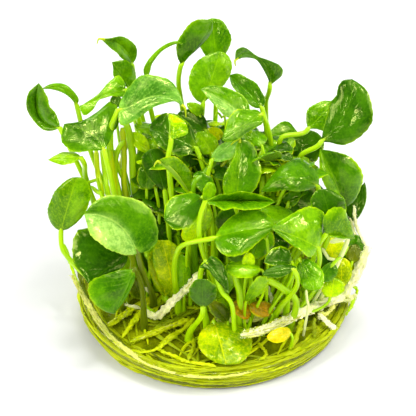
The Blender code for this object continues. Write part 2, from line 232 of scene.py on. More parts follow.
# The leaves that have a solid each, under the names of their nodes
LEAVES = {
    # Left and upper left
    "leaf_01": leaf((60, 128, 6), (39, 83, 11), (26, 111, 8), (50, 107, 9), (-30, 0), mid=(38, 114, 12),
                    left_edge=[(51, 131), (42, 129), (32, 119), (26, 104), (28, 93), (34, 87)],
                    right_edge=[(59, 121), (53, 110), (48, 100), (44, 90)], tone="deep", crown=0.3),
    "leaf_02": leaf((77, 106, 14), (42, 89, 11), (60, 94, 11), (62, 83, 15), (-26, 5), mid=(63, 88, 13),
                    left_edge=[(72, 100), (64, 93.5), (52, 89.5)],
                    right_edge=[(78.5, 98), (70, 87.5), (60, 83), (49, 84.5)], tone="fresh"),
    "leaf_03": leaf((125, 90, 13), (79, 107, 5), (112, 98, 8), (110, 80, 14), (-22, 10), widest=0.3,
                    left_edge=[(124, 97), (110, 96), (99, 100), (93, 110), (84, 115)],
                    right_edge=[(125, 83), (118, 75.5), (108, 83), (98, 94), (87, 102)], tone="fresh"),
    "leaf_04": leaf((132, 65, 24), (101, 39, 17), (117, 55, 19), (137, 45, 25), (-14, 21),
                    mid=(122, 47, 23), widest=0.33,
                    left_edge=[(124, 60), (114, 51), (107, 45)],
                    right_edge=[(137, 56), (135, 45), (123, 36.5), (110, 38)],
                    drip=[(98.5, 39), (97, 44)], tone="fresh"),
    "leaf_05": leaf((129, 88, 20), (112, 62, 18), (113, 77, 17), (136, 70, 22), (-19, 15),
                    left_edge=[(121, 84), (113.5, 76), (113, 68)],
                    right_edge=[(136, 78), (133, 66), (124, 60)], tone="fresh"),
    "leaf_06": leaf((118, 110, 2), (185, 108, 4), (154, 76, 11), (134, 121, 0), (-20, 2),
                    mid=(155, 94, 8), widest=0.35,
                    left_edge=[(121, 100), (128, 88), (137, 78), (146, 75), (160, 76.5), (170, 80),
                               (179, 92)],
                    right_edge=[(119, 122), (124, 126), (136, 120), (148, 111), (160, 105),
                                (175, 101.5)],
                    rib=[(130, 107), (145, 99), (160, 96), (174, 99)],
                    drip=[(186, 117)], tone="pale"),
    "leaf_07": leaf((104, 150, -6), (64, 124, -2), (70, 153, -8), (106, 112, 6), (-25.5, -4),
                    left_edge=[(93, 151), (78, 152), (66, 147), (61, 138)],
                    right_edge=[(112, 137), (117, 120), (116, 106), (110, 101), (98, 111), (82, 121)],
                    rib=[(98, 140), (86, 132), (74, 127)], tone="deep", edge="bright"),
    "leaf_08": leaf((81, 158, -7), (48, 160, -9), (68, 166, -11), (60, 153, -5), (-29, -4.5),
                    via=(86, 178, -2), left_edge=[(74, 162.5), (66, 165), (56, 163.5)],
                    right_edge=[(78, 154), (68, 151.5), (57, 154.5)], tone="bright"),
    "leaf_09": leaf((61, 231, -9), (77, 177, -6), (49, 204, -6), (89, 204, -8), (-32, -10),
                    via=(64, 252, -11), tone="bright", right_tone="spring", crown=0.2),
    # Left half in the painted sheen colour, right half in a darker painted shade
    "leaf_10": leaf((138, 254, -24), (84, 214, -24), (104, 247, -30), (148, 205, -16), (-18, -12),
                    mid=(116, 223, -21),
                    left_edge=[(126, 255), (112, 251), (99, 243), (89, 231)],
                    right_edge=[(149, 250), (157, 240), (158, 226), (152, 212), (140, 201),
                                (124, 196), (106, 196), (92, 204)],
                    tone="painted_sheen", right_tone="deep", stem_tone="olive", crown=0.14),
    "leaf_11": leaf((128, 252, -20), (89, 284, -29), (118, 274, -26), (76, 236, -19), (-28, -12),
                    left_edge=[(127, 262), (120, 270), (108, 275), (96, 280)],
                    right_edge=[(118, 238), (98, 229), (80, 230), (73, 243), (73, 262), (81, 273)],
                    tone="dark", stem_tone="moss"),
    "leaf_12": leaf((134, 269, -26.5), (114, 314, -34), (130, 292, -30), (88, 285, -33),
                    (-20.5, -21.5), left_edge=[(135, 278), (130, 291), (123, 303)],
                    right_edge=[(120, 270), (103, 275), (91, 281), (88, 291), (94, 303), (104, 311)],
                    tone="deep", stem_tone="olive"),
    # Top
    "leaf_13": leaf((147, 80, 16), (183, 44, 22), (149, 62, 16), (157, 61, 20), (-8, 22),
                    mid=(158, 52, 19),
                    left_edge=[(143.5, 73), (145, 65), (154, 53), (165, 44.5), (176, 41)],
                    right_edge=[(150, 72), (153, 62), (162, 51.5), (172, 45.5), (180, 43.5)],
                    rib=[(147, 70), (151, 60), (161, 49), (173, 43)], tone="fresh"),
    "leaf_14": leaf((181, 65, 22), (213, 20, 28), (180, 34, 23), (204, 46, 27), (-3, 25),
                    via=(179, 88, 22),
                    left_edge=[(177, 56), (176, 46), (181, 36), (187, 26), (198, 19.5)],
                    right_edge=[(187, 58), (196, 50), (206, 41), (212, 31)], tone="deep"),
    "leaf_15": leaf((216, 62, 31), (212, 18, 36), (199, 42, 32), (232, 40, 33), (-1, 32),
                    left_edge=[(207, 57), (201, 49), (198, 39), (200, 28), (205, 21)],
                    right_edge=[(224, 56), (230, 46), (231, 36), (226, 25), (220, 19.5)], tone="fresh"),
    "leaf_16": leaf((203, 104, 14), (220, 51, 24), (189, 78, 17), (230, 76, 20), (4, 21),
                    left_edge=[(195, 99), (190, 90), (188.5, 79), (192, 68), (200, 59), (209, 54)],
                    right_edge=[(209, 98), (217, 92), (225, 84), (230, 75), (232, 64), (228, 55)],
                    tone="fresh", right_tone="spring"),
    # Left half in the painted sheen colour, right half in a darker painted shade
    "leaf_17": leaf((246, 118, 8), (201, 89, 10), (218, 111, 5), (238, 90, 13), (10, 10),
                    left_edge=[(238, 119), (227, 117), (217, 108), (208, 98)],
                    right_edge=[(250, 109), (244, 97), (233, 90), (222, 86.5), (211, 85.5)],
                    tone="painted_sheen", right_tone="green"),
    "leaf_18": leaf((262, 108, 16), (229, 75, 24), (237, 97, 16), (257, 80, 21), (15, 18),
                    left_edge=[(256, 108), (248, 104), (240, 95), (232, 86)],
                    right_edge=[(266, 100), (262, 92), (256, 83), (247, 77.5), (238, 73.5)],
                    tone="deep"),
    "leaf_19": leaf((262, 114, 6), (222, 140, -4), (252, 134, 0), (232, 112, 5), (15, 5),
                    left_edge=[(263, 123), (255, 128), (246, 134), (237, 140), (229, 142)],
                    right_edge=[(257, 110), (247, 109), (237, 110), (229, 117), (225, 129)],
                    tone="green", edge="lime"),
    "leaf_20": leaf((270, 86, 22), (235, 61, 15), (262, 70, 21), (284, 68, 23), (18, 29),
                    mid=(254, 56, 20), via=(266, 104, 26),
                    left_edge=[(268, 79), (263, 69), (257, 60.5), (251, 58), (243, 58), (237, 60)],
                    right_edge=[(273, 83), (281, 77), (283, 71), (279, 65), (269, 60), (257, 56),
                                (250, 50.5), (243, 47), (236, 50.5)],
                    rib=[(270, 76), (264, 64), (254, 55), (243, 53)],
                    drip=[(235.5, 66)], tone="deep"),
    # Right
    "leaf_21": leaf((308, 129, 12), (335, 101, 19), (306, 110, 16), (332, 129, 13), (21, 10),
                    via=(280, 140, 9), left_edge=[(306, 120), (307, 111), (313, 105), (323, 101)],
                    right_edge=[(316, 129), (326, 131), (335, 124), (338, 111)], tone="fresh"),
    "leaf_22": leaf((321, 142, 3), (352, 79, 11), (328, 106, 8), (374, 122, 3), (25, 6),
                    mid=(346, 112, 5), via=(300, 158, 5),
                    left_edge=[(323, 130), (327, 115), (330, 103), (336, 95.5), (338, 87),
                               (343, 80.5)],
                    right_edge=[(330, 142.5), (342, 145), (354, 141), (365, 133), (372, 121),
                                (372, 105), (368, 92), (360, 84)],
                    tone="dark", crown=0.2, dents=0.008),
    "leaf_23": leaf((300, 136, 22), (266, 138, 20), (282, 142, 19), (284, 121, 25), (26, 22),
                    left_edge=[(292, 139), (282, 141), (272, 140)],
                    right_edge=[(296, 130), (290, 122.5), (282, 122), (273, 128)], tone="fresh"),
    "leaf_24": leaf((286, 162, 14), (314, 131, 20), (282, 142, 19), (320, 156, 14), (20, 13),
                    tone="dark"),
    "leaf_25": leaf((344, 207, 4), (320, 149, 8), (321, 176, 3), (364, 172, 8), (29, 3),
                    left_edge=[(336, 202), (327, 190), (321, 176), (319, 162)],
                    right_edge=[(351, 204), (359, 193), (363, 180), (360, 167), (350, 157),
                                (335, 151.5)], tone="spring", right_tone="deep", edge="lime",
                    crown=0.26),
    "leaf_26": leaf((350, 224, 6), (365, 182, 13), (345, 202, 10), (368, 200, 9), (31, 8),
                    left_edge=[(346, 214), (346, 203), (354, 193)],
                    right_edge=[(358, 218), (364, 208), (366.5, 198), (366.5, 189)], tone="dark"),
    "leaf_27": leaf((318, 187, -5), (261, 192, -8), (290, 194, -12), (292, 159, 2), (20, -8),
                    mid=(290, 178, -8),
                    left_edge=[(308, 190), (296, 191.5), (284, 190), (272, 192)],
                    right_edge=[(319, 178), (314, 168), (305, 161), (294, 159.5), (283, 164),
                                (274, 173), (266, 184)], tone="deep", crown=0.2),
    "leaf_28": leaf((312, 208, 0), (270, 202, 0), (290, 217, -3), (292, 190, 4), (18, 0), tone="dark"),
    "leaf_29": leaf((330, 220, -12), (322, 189, -9), (311, 206, -11), (346, 203, -9), (27, -6),
                    tone="dark", edge="bright"),
    "leaf_30": leaf((318, 248, -19), (271, 228, -23), (300, 255, -26), (312, 205, -12),
                    (26.5, -12), widest=0.36,
                    left_edge=[(311, 257), (302, 252), (292, 245), (281, 237)],
                    right_edge=[(322, 236), (324, 222), (321, 210), (312, 205.5), (301, 209),
                                (290, 215), (280, 221)], tone="spring", edge="lime"),
    "leaf_31": leaf((326, 234, -16), (354, 238, -13), (340, 205, -13), (339, 240, -18), (30, -10),
                    left_edge=[(323, 222), (328, 211), (336, 206.5), (344, 209), (350, 222)],
                    right_edge=[(332, 237), (342, 238.5), (350, 239)], tone="bright"),
    # Middle
    "leaf_32": leaf((205, 202, -17), (275, 202, -14), (242, 192, -14), (240, 210, -20), (3, -15),
                    mid=(240, 201, -11), widest=0.6, tone="fresh", edge="lime"),
    "leaf_33": leaf((214, 238, -21), (275, 226, -17), (243, 209, -13), (237, 254, -26), (-10.5, -14),
                    via=(178, 250, -19), rise=0,
                    left_edge=[(221, 227), (232, 216), (244, 209.5), (257, 209), (269, 215)],
                    right_edge=[(217, 248), (227, 256), (240, 256), (254, 246), (266, 236)],
                    tone="fresh", right_tone="deep", edge="lime", crown=0.2),
    "leaf_34": leaf((236, 208, -10), (240, 139, 0), (223, 184, -8), (262, 172, -5), (8, -8),
                    left_edge=[(228, 200), (223, 191), (223, 180), (228, 168), (234, 156),
                               (236, 146)],
                    right_edge=[(248, 196), (257, 187), (261, 173), (259, 158), (254, 146),
                                (247, 139.5)],
                    drip=[(235, 141), (231, 145)], tone="spring", right_tone="deep", edge="lime",
                    crown=0.2),
    "leaf_35": leaf((203, 197, -10), (164, 220, -20), (195, 224, -19), (174, 194, -13), (-0.5, -8),
                    left_edge=[(201, 208), (197, 219), (188, 228), (175, 230)],
                    right_edge=[(194, 193), (182, 194), (171, 198), (165, 207)], tone="dark",
                    right_tone="deep", edge="lime"),
    "leaf_36": leaf((171, 140, -4), (169, 114, 2), (167, 126, -2), (193, 130, -2), (-10, -1),
                    via=(168, 160, -6), left_edge=[(170.5, 133), (170, 124), (168, 118)],
                    right_edge=[(178, 138), (188, 133), (186, 124), (177, 116)], tone="bright",
                    right_tone="lime"),
    "leaf_37": leaf((190, 193, -7), (158, 161, -13), (176, 179, -13), (188, 162, -8), (-8, -5),
                    left_edge=[(186, 186), (180, 177), (172, 168), (165, 162.5)],
                    right_edge=[(192, 182), (190, 171), (183, 162), (174, 156), (165, 157)],
                    drip=[(155, 164), (154, 167)], tone="bright", edge="yellow"),
    "leaf_38": leaf((165, 192, -4), (150, 149, 0), (142, 168, -3), (173, 168, 0), (-13, -5),
                    left_edge=[(158, 187), (149, 178), (143, 167), (142, 156)],
                    right_edge=[(169, 184), (171, 172), (168, 158), (160, 149)], tone="dark"),
    "leaf_39": leaf((196, 148, 0), (150, 128, 4), (170, 153, -3), (178, 115, 6), (-4, 3), tone="dark",
                    ripple=0.1),
    "leaf_40": leaf((206, 131, 8), (178, 113, 11), (186, 131, 6), (200, 113, 12), (3, 10.5),
                    tone="dark"),
    "leaf_41": leaf((212, 160, -1), (239, 141, 7), (220, 145, 4), (233, 157, -1), (1, -2),
                    tone="pale"),
    "leaf_42": leaf((212, 154, 3), (198, 132, 6), (194, 148, 2), (217, 139, 6), (1, 5), tone="bright",
                    edge="lime"),
    # Low, at the front
    "leaf_43": leaf((252, 260, -21), (262, 229, -14), (249, 244, -19), (274, 244, -16), (12, -15),
                    tone="fresh", edge="yellow"),
    "leaf_44": leaf((300, 260, -23), (314, 291, -31), (324, 270, -26), (298, 282, -28), (21, -19),
                    left_edge=[(308, 259), (317, 264), (323, 273), (324, 283), (320, 289)],
                    right_edge=[(297, 268), (299, 279), (304, 288)], tone="fresh"),
    "leaf_45": leaf((294, 270, -30), (262, 274, -32), (278, 280, -33), (279, 263, -28), (17, -20),
                    left_edge=[(288, 274), (280, 277.5), (271, 277.5), (265, 276)],
                    right_edge=[(296, 267), (287, 264), (276, 265), (267, 269)], tone="dark"),
    "leaf_46": leaf((343, 262, -6), (362, 243, -2), (350, 237, 0), (361, 256, -4), (33, -8),
                    tone="deep"),
    "leaf_47": leaf((206, 262, -27), (229, 293, -33), (226, 265, -27), (203, 275, -30), (-2, -24),
                    widest=0.3, left_edge=[(211, 256), (220, 260), (226, 270), (228.5, 282)],
                    right_edge=[(199, 267), (207, 269), (213, 276), (220, 284)], tone="dark"),
    "leaf_48": leaf((203, 307, -33), (202, 279, -33), (189, 292, -34), (217, 292, -34), (-7.5, -26),
                    tone="dark", ripple=0.08),
    "leaf_49": leaf((214, 322, -25), (226, 365, -38.2), (255, 343, -31), (197, 341, -31), (2, -25),
                    left_edge=[(232, 323), (245, 329), (252.5, 340), (250, 352), (241, 363)],
                    right_edge=[(204, 328), (198, 338), (199, 348), (207, 357), (217, 363)],
                    tone="lemon", edge="yellow", crown=0.05),
    "leaf_50": leaf((166, 298, -14), (154, 246, -9), (149, 270, -13), (177, 266, -11), (-13, -10),
                    tone="yellow"),
    # At the back
    "leaf_51": leaf((170, 150, 27), (158, 128, 39), (152, 142, 32), (180, 136, 35), (-15, 30),
                    tone="deep"),
    "leaf_52": leaf((232, 142, 26), (236, 120, 38), (219, 132, 33), (250, 132, 31), (9, 26),
                    tone="fresh"),
    "leaf_53": leaf((282, 166, 27), (300, 145, 37), (274, 152, 34), (306, 160, 31), (20, 28),
                    tone="deep"),
}

# Smaller leaves that show between the others
SMALL_LEAVES = [
    leaf((292, 262, -25), (264, 262, -29), (278, 266, -29), (280, 246, -24), (14, -22), tone="dark",
         edge="lime"),
    leaf((206, 202, -13), (210, 182, -11), (203, 191, -13), (216, 192, -12), (-1, -13), tone="bright"),
    leaf((200, 116, 11), (187, 103, 13), (191, 112, 11), (202, 106, 13), (0, 11), tone="bright",
         edge="lime"),
    leaf((116, 108, 8), (116, 95, 10), (110, 101, 9), (122, 101, 9), (-21, 6), tone="dark"),
    leaf((112, 132, 4), (115, 114, 7), (108, 121, 5), (119, 122, 5), (-22, 3), tone="dark"),
    leaf((246, 272, -24), (248, 252, -22), (242, 262, -24), (255, 262, -23), (8, -20), tone="lime"),
    leaf((262, 270, -25), (226, 266, -25), (240, 278, -28), (243, 262, -22), (10, -22), tone="bright",
         edge="lime"),
    leaf((246, 302, -26), (262, 276, -28), (250, 286, -28), (266, 288, -27), (9, -25), tone="bright",
         edge="lime"),
    leaf((214, 142, 7), (214, 127, 10), (205, 133, 8), (223, 134, 9), (3, 8), tone="yellow",
         edge="yellow"),
    leaf((270, 190, 2), (268, 156, 8), (258, 172, 4), (286, 168, 5), (14, 2), tone="lime",
         edge="yellow"),
    leaf((342, 288, -12), (341, 258, -8), (332, 272, -10), (352, 270, -10), (27, -14), tone="yellow",
         edge="yellow"),
    leaf((330, 298, -18), (334, 278, -15), (322, 288, -17), (345, 288, -16), (22, -20), tone="lime",
         edge="yellow"),
    leaf((150, 152, 6), (128, 136, 8), (136, 148, 5), (142, 134, 9), (-10, 6), tone="lime"),
    leaf((298, 219, -9), (258, 211, -11), (280, 227, -14), (279, 206, -7), (17, -8), tone="fresh"),
    leaf((228, 232, -12), (230, 207, -10), (215, 220, -12), (240, 220, -11), (4, -12), tone="dark"),
    leaf((188, 244, -14), (206, 208, -13), (184, 224, -15), (211, 226, -13), (-7, -12), tone="lime",
         edge="yellow"),
    leaf((140, 178, 4), (142, 150, 6), (133, 164, 4), (149, 166, 5), (-13, 4), tone="fresh"),
    leaf((148, 212, 0), (140, 186, 4), (136, 200, 1), (160, 196, 3), (-15, 0), tone="olive"),
    leaf((210, 150, 4), (190, 148, 6), (200, 156, 3), (200, 142, 7), (-1, 6), tone="deep"),
    leaf((228, 176, -2), (206, 164, 2), (214, 178, -2), (222, 164, 2), (4, -2), tone="dark"),
    leaf((212, 196, -6), (196, 172, -2), (196, 186, -5), (212, 178, -3), (0, -6), tone="deep"),
    leaf((186, 168, 0), (192, 146, 4), (182, 156, 1), (201, 158, 3), (-4, 0), tone="dark"),
    leaf((262, 146, 4), (246, 132, 8), (248, 142, 5), (264, 134, 8), (13, 5), tone="fresh"),
    leaf((276, 160, 6), (258, 138, 10), (260, 150, 6), (280, 144, 9), (16, 7), tone="fresh"),
    leaf((288, 250, -14), (262, 236, -12), (268, 250, -16), (282, 236, -11), (17, -14), tone="dark"),
    leaf((326, 268, -14), (310, 248, -12), (310, 262, -15), (330, 256, -12), (25, -14), tone="dark"),
    leaf((318, 282, -18), (332, 262, -14), (320, 270, -16), (336, 276, -16), (24, -17), tone="deep"),
    leaf((352, 262, -8), (356, 244, -4), (346, 252, -6), (362, 256, -6), (32, -9), tone="olive"),
    leaf((246, 250, -14), (228, 258, -18), (234, 250, -16), (242, 262, -18), (7, -16), tone="deep"),
    leaf((160, 268, -12), (150, 238, -8), (144, 254, -11), (164, 252, -9), (-15, -9), tone="lime"),
    leaf((184, 292, -16), (182, 254, -12), (174, 272, -14), (191, 274, -14), (-9, -14), tone="bright"),
    leaf((216, 300, -22), (232, 262, -20), (216, 280, -22), (236, 282, -22), (2, -20), tone="bright"),
    leaf((142, 300, -18), (130, 276, -18), (128, 290, -20), (144, 286, -17), (-17, -16), tone="olive"),
    leaf((228, 322, -26), (210, 302, -26), (212, 314, -28), (226, 306, -25), (1, -27), tone="olive"),
    leaf((250, 318, -24), (232, 304, -25), (238, 316, -27), (246, 302, -23), (8, -26), tone="rust",
         edge="rust"),
    leaf((272, 314, -22), (250, 304, -23), (256, 316, -25), (268, 302, -21), (14, -24), tone="rust",
         edge="yellow"),
    leaf((291, 334, -31), (267, 336, -33), (278, 343, -34), (282, 327, -30), (22, -30), tone="amber",
         edge="yellow", crown=0.04),
    leaf((334, 262, -10), (328, 238, -7), (320, 250, -9), (346, 246, -7), (28, -12), tone="yellow",
         edge="straw"),
    leaf((350, 284, -8), (356, 256, -5), (344, 268, -7), (362, 268, -5), (32, -12), tone="citron",
         edge="straw"),
    leaf((176, 300, -14), (162, 240, -12), (154, 266, -14), (186, 264, -12), (-9, -14), tone="yellow",
         edge="lime"),
]

# Stems that show between the leaves: the places (px, py, back) from their upper ends, the foot
# (x, y) in mm, the radius in mm and the colour
STEMS = [
    ([(96, 149, 0), (98, 175, -3), (103, 200, -6)], (-28, -8), 0.8, "yellow"),
    ([(102, 147, 0), (105, 175, -3), (109, 200, -6)], (-26, -9), 0.8, "lime"),
    ([(108, 148, 2), (112, 172, 0), (116, 200, -2)], (-24, -6), 1.2, "yellow"),
    ([(124, 140, 4), (117, 153, 3), (115, 172, 1), (120, 200, -2)], (-22, -5), 0.8, "lime"),
    ([(122, 128, 5), (124, 155, 4), (126, 198, 0)], (-20, -4), 0.9, "yellow"),
    ([(128, 138, 7), (122, 160, 6), (112, 196, 3)], (-24, -2), 0.7, "straw"),
    ([(114, 150, 3), (119, 170, 2), (128, 196, 1)], (-21, -2), 0.6, "lime"),
    ([(126, 122, 8), (132, 150, 6), (136, 198, 2)], (-17, -3), 1.2, "lime"),
    ([(140, 145, 10), (139, 170, 8), (139, 198, 5)], (-14, 0), 0.8, "bright"),
    ([(152, 172, 4), (156, 186, 2), (158, 200, 0)], (-12, -2), 0.5, "yellow"),
    ([(186, 140, 5), (176, 160, 3), (172, 186, 0)], (-8, -3), 0.5, "lime"),
    ([(198, 152, 3), (190, 170, 1), (186, 196, -2)], (-3, -4), 0.5, "yellow"),
    ([(228, 158, 2), (216, 174, 0), (208, 190, -3)], (0, -5), 0.5, "yellow"),
    ([(270, 150, 7), (276, 160, 5), (280, 178, 2)], (15, -1), 0.5, "yellow"),
    ([(300, 168, 4), (292, 188, 2), (290, 206, -1)], (18, -3), 0.5, "lime"),
    ([(84, 184, -5), (95, 181, -4), (100, 190, -6)], (-27, -10), 0.5, "lime"),
    ([(91, 186, -5), (98, 193, -6), (104, 203, -8)], (-26, -11), 0.6, "lime"),
    ([(180, 150, 2), (182, 163, 1), (184, 185, -1)], (-6, -2), 0.6, "bright"),
    ([(215, 116, 8), (217, 112, 8.5), (222, 118, 9), (226, 130, 8)], (6, 8), 0.35, "lime"),
    ([(216, 160, 0), (203, 175, -2), (192, 195, -5)], (-5, -6), 1.0, "bright"),
    ([(262, 150, 6), (259, 165, 4), (262, 190, 0)], (12, 0), 0.8, "lime"),
    ([(250, 238, -19), (257, 230, -17), (264, 236, -18), (268, 252, -20)], (15, -20), 0.5, "lime"),
    ([(232, 262, -22), (236, 280, -23), (240, 298, -24)], (7, -24), 1.0, "lime"),
    ([(268, 280, -26), (282, 288, -24), (296, 302, -22)], (22, -22), 1.0, "lime"),
    ([(216, 276, -25), (222, 292, -26), (232, 306, -27)], (6, -28), 0.7, "lime"),
    ([(330, 242, -13), (340, 240, -13), (347, 242, -12)], (30, -13), 0.7, "cream"),
    ([(348, 246, -10), (342, 256, -12), (330, 268, -15)], (24, -17), 0.5, "lime"),
    ([(306, 290, -22), (307, 300, -23), (308, 308, -24)], (26, -24), 0.4, "cream"),
    ([(322, 248, -12), (328, 258, -13), (334, 266, -14)], (27, -15), 0.5, "cream"),
]

# The places that each main root passes, as (px, py, height above the gel in mm), and its thickness
# in mm
ROOTS = {
    "root_rim": ([(72, 275, 11.5), (80, 290, 9.5), (90, 307, 7.5), (105, 330, 4.5), (120, 345, 2.5),
                  (138, 357, 1.5)], 1.2),
    "root_main": ([(241, 335, 7.5), (256, 332, 6.5), (275, 325, 5), (300, 313, 5), (320, 305, 4.5),
                   (340, 297, 5), (352, 280, 9), (361, 262, 14), (368, 246, 18)], 3.0),
    "root_strand": ([(216, 320, 3), (240, 320, 2.5), (262, 318, 2.5), (280, 311, 2.5),
                     (293, 305, 2.5)], 1.6),
    "root_elbow": ([(202, 271, 18), (190, 285, 15), (172, 302, 9), (157, 316, 3), (146, 309, 2.5)], 2.3),
    "root_left": ([(107, 327, 1.4), (125, 314, 1.4), (140, 304, 1.4), (158, 294, 1.4)], 1.8),
    "root_front": ([(130, 342, 1.3), (148, 335, 1.3), (165, 329, 1.3), (190, 319, 1.3)], 1.6),
}
ROOT_TONES = {"root_rim": "straw", "root_main": "cream", "root_strand": "straw",
              "root_elbow": "cream", "root_left": "yellow", "root_front": "yellow"}

# Thinner roots: their places (px, py, height above the gel in mm), thickness in mm and colour
THIN_ROOTS = [
    ([(122, 338, 1), (134, 321, 1.4), (145, 308, 1.8), (156, 298, 1.5)], 1.8, "yellow"),
    ([(140, 318, 0.8), (155, 322, 1), (175, 320, 1), (192, 312, 1.5)], 1.3, "moss"),
    ([(158, 348, 0.6), (172, 337, 0.8), (186, 327, 1.2), (194, 318, 2)], 1.8, "citron"),
    ([(128, 350, 0.4), (145, 352, 0.5), (160, 347, 0.7), (176, 333, 1)], 0.9, "yellow"),
    ([(155, 348, 0.5), (170, 355, 0.6), (186, 361, 0.7), (202, 364, 0.7), (216, 367, 0.6)], 1.2,
     "yellow"),
    ([(146, 354, 0.4), (156, 364, 0.6), (172, 372, 0.7), (190, 376, 0.8)], 1.1, "citron"),
    ([(148, 350, 0.3), (166, 362, 0.3), (188, 369, 0.3), (214, 373, 0.5)], 0.8, "olive"),
    ([(267, 285, 3), (272, 300, 3), (275, 317, 3.8)], 1.1, "cream"),
    ([(318, 313, 3.5), (327, 322, 2.4), (336, 330, 1)], 1.7, "cream"),
    ([(319, 312, 3.6), (326, 314, 3.2), (335, 305, 4)], 1.2, "straw"),
    ([(303, 319, 4), (297, 335, 2), (290, 349, 0.8)], 1.5, "citron"),
    ([(315, 318, 3.5), (314, 327, 2), (315, 338, 0.5)], 1.0, "moss"),
    ([(268, 279, 3), (281, 287, 2.5), (292, 297, 2.6), (301, 304, 3)], 1.8, "yellow"),
    ([(257, 342, 0.8), (266, 352, 0.8), (264, 357, 0.7), (259, 360, 0.5)], 0.8, "yellow"),
    ([(176, 300, 2), (188, 307, 1.2), (201, 308, 1.5)], 1.1, "yellow"),
    ([(190, 330, 0.8), (194, 345, 0.8), (188, 360, 0.5)], 1.1, "citron"),
    ([(262, 358, 0.3), (282, 356, 0.4), (300, 350, 0.6), (322, 340, 0.8), (340, 326, 0.9)], 1.2,
     "citron"),
    ([(236, 318, 3), (256, 317, 3), (276, 311, 3.2), (296, 302, 3.6), (320, 296, 4.6)], 1.3, "straw"),
    ([(268, 340, 1.5), (276, 333, 3), (284, 327, 4)], 1.0, "yellow"),
    ([(76, 262, 12), (84, 290, 7), (94, 310, 4), (108, 330, 1.5), (126, 346, 0.8)], 1.0, "olive"),
    ([(64, 244, 17), (70, 262, 12), (78, 284, 8), (92, 310, 4)], 1.0, "lime"),
    ([(354, 205, 26), (356, 225, 20), (362, 240, 17), (366, 256, 14), (360, 276, 9)], 0.9, "cream"),
    ([(350, 218, 21), (356, 236, 17), (365, 246, 16), (362, 268, 11), (354, 286, 6)], 1.1, "cream"),
    ([(352, 286, 6), (357, 290, 4.5), (354, 300, 3), (346, 316, 1.5)], 1.0, "lime"),
    ([(345, 292, 5), (352, 300, 3), (350, 308, 1.8)], 1.8, "cream"),
    ([(340, 300, 4), (352, 300, 3), (356, 294, 4)], 1.2, "cream"),
    ([(124, 304, 2), (134, 307, 2), (146, 309, 2)], 0.9, "cream"),
    ([(138, 285, 5), (146, 289, 4), (154, 296, 3)], 1.0, "cream"),
    ([(254, 270, 5), (258, 285, 3), (252, 300, 2.5), (244, 312, 2)], 1.2, "lime"),
    ([(228, 290, 3), (238, 283, 4), (252, 290, 3), (262, 300, 2.5)], 0.9, "lime"),
    ([(300, 290, 3), (302, 300, 3.2), (300, 312, 4.4)], 0.8, "lime"),
    ([(118, 344, 2.6), (138, 359, 1.2), (160, 369, 0.8), (190, 376, 0.7), (220, 377, 0.7),
      (252, 372, 0.7)], 0.8, "straw"),
    ([(330, 246, 12), (340, 252, 10), (350, 264, 7), (354, 280, 5)], 0.7, "straw"),
    ([(336, 288, 6), (342, 270, 8), (350, 252, 11), (358, 240, 14)], 0.8, "cream"),
    ([(322, 292, 4), (330, 276, 6), (340, 262, 8), (344, 248, 12)], 0.7, "straw"),
]

# Roots that cross the gel's surface: their number, where they start and end as distances from its
# middle in mm, how high they rise over it in mm, how far they wander from side to side, their
# thickness in mm and their tones in turn
CROSSING_ROOTS = 70
CROSSING_START = 8
CROSSING_END = (27, 38.5)
CROSSING_RISE = 1.2
CROSSING_WANDER = 0.7
CROSSING_THICKNESS = (0.5, 1.3)
CROSSING_TONES = ["moss", "citron", "moss", "yellow", "moss", "yellow"]

# Roots that circle round the gel: their number, how far round they go in radians, their depth in
# the wall, their height on it and their distance from the middle on its top in mm, their thickness
# in mm, the lowest and highest that they get on the wall, the farthest out that they get on the
# top, and their tones in turn
CIRCLING_ROOTS = 99
CIRCLING_SWEEP = (0.8, 2.6)
CIRCLING_DEPTH = (-0.05, 0.45)
CIRCLING_HEIGHT = (0.5, 6.4)
CIRCLING_REACH = (36.5, 41.0)
CIRCLING_THICKNESS = (0.35, 1.0)
WALL_LIMITS = (0.55 * MM, 6.5 * MM)
TOP_LIMIT = 41.2 * MM
CIRCLING_TONES = ["citron", "yellow", "citron"]

# How uneven the roots are as a share of their radius, how flat those are that are thicker or
# thinner than BROAD_ROOT in mm, their least radius, and the radii of a hair
ROOT_ROUGHNESS = 0.16
BROAD_ROOT = 1.2
BROAD_FLATNESS = 0.62
THIN_FLATNESS = 0.85
LEAST_ROOT_RADIUS = 0.08 * MM
HAIR_RADII = np.array([0.16, 0.11, 0.04]) * MM

# How many points, hairs and strands the roots and stems have for each place that they pass, how
# many places and points those that are placed at random have, and how many sides the tubes have
MAIN_ROOT_POINTS, MAIN_ROOT_HAIRS, MAIN_ROOT_STRANDS = 14, 40, 3
THIN_ROOT_POINTS, THIN_ROOT_HAIRS = 11, 9
BARE_STEM_POINTS = 9
CROSSING_PLACES, CROSSING_POINTS = 5, 26
CIRCLING_PLACES, CIRCLING_POINTS = 11, 90
MAIN_ROOT_SIDES, THIN_ROOT_SIDES, FINE_ROOT_SIDES, STRAND_SIDES, HAIR_SIDES = 12, 8, 7, 6, 3
BARE_STEM_SIDES = 8

# The part of the front view that the clump covers, where growth behind the leaves may show
CANOPY = [(133, 128), (150, 112), (190, 112), (205, 118), (222, 122), (262, 126), (300, 138),
          (316, 146), (322, 160), (345, 205), (350, 226), (343, 262), (330, 283), (290, 296),
          (240, 300), (190, 296), (150, 288), (118, 262), (94, 235), (104, 202), (134, 196)]

# The growth that fills the clump, for each piece: the number of its leaves, whether they stand only
# at the back, and their size
GROWTH = {"inner_leaves": (170, False, 1), "back_leaves": (70, True, 1),
          "young_leaves": (130, False, 0.6)}

# How far out its leaves stand, and how far they may reach to the front and to the sides, and in mm
# how high they start and how long they are
BACK_REACH = 33 * MM
INNER_REACH = 29 * MM
FRONT_LIMIT = -6 * MM
SIDE_LIMIT = 38 * MM
SPROUT_HEIGHT = (13, 50)
SPROUT_LENGTH = (8, 15)

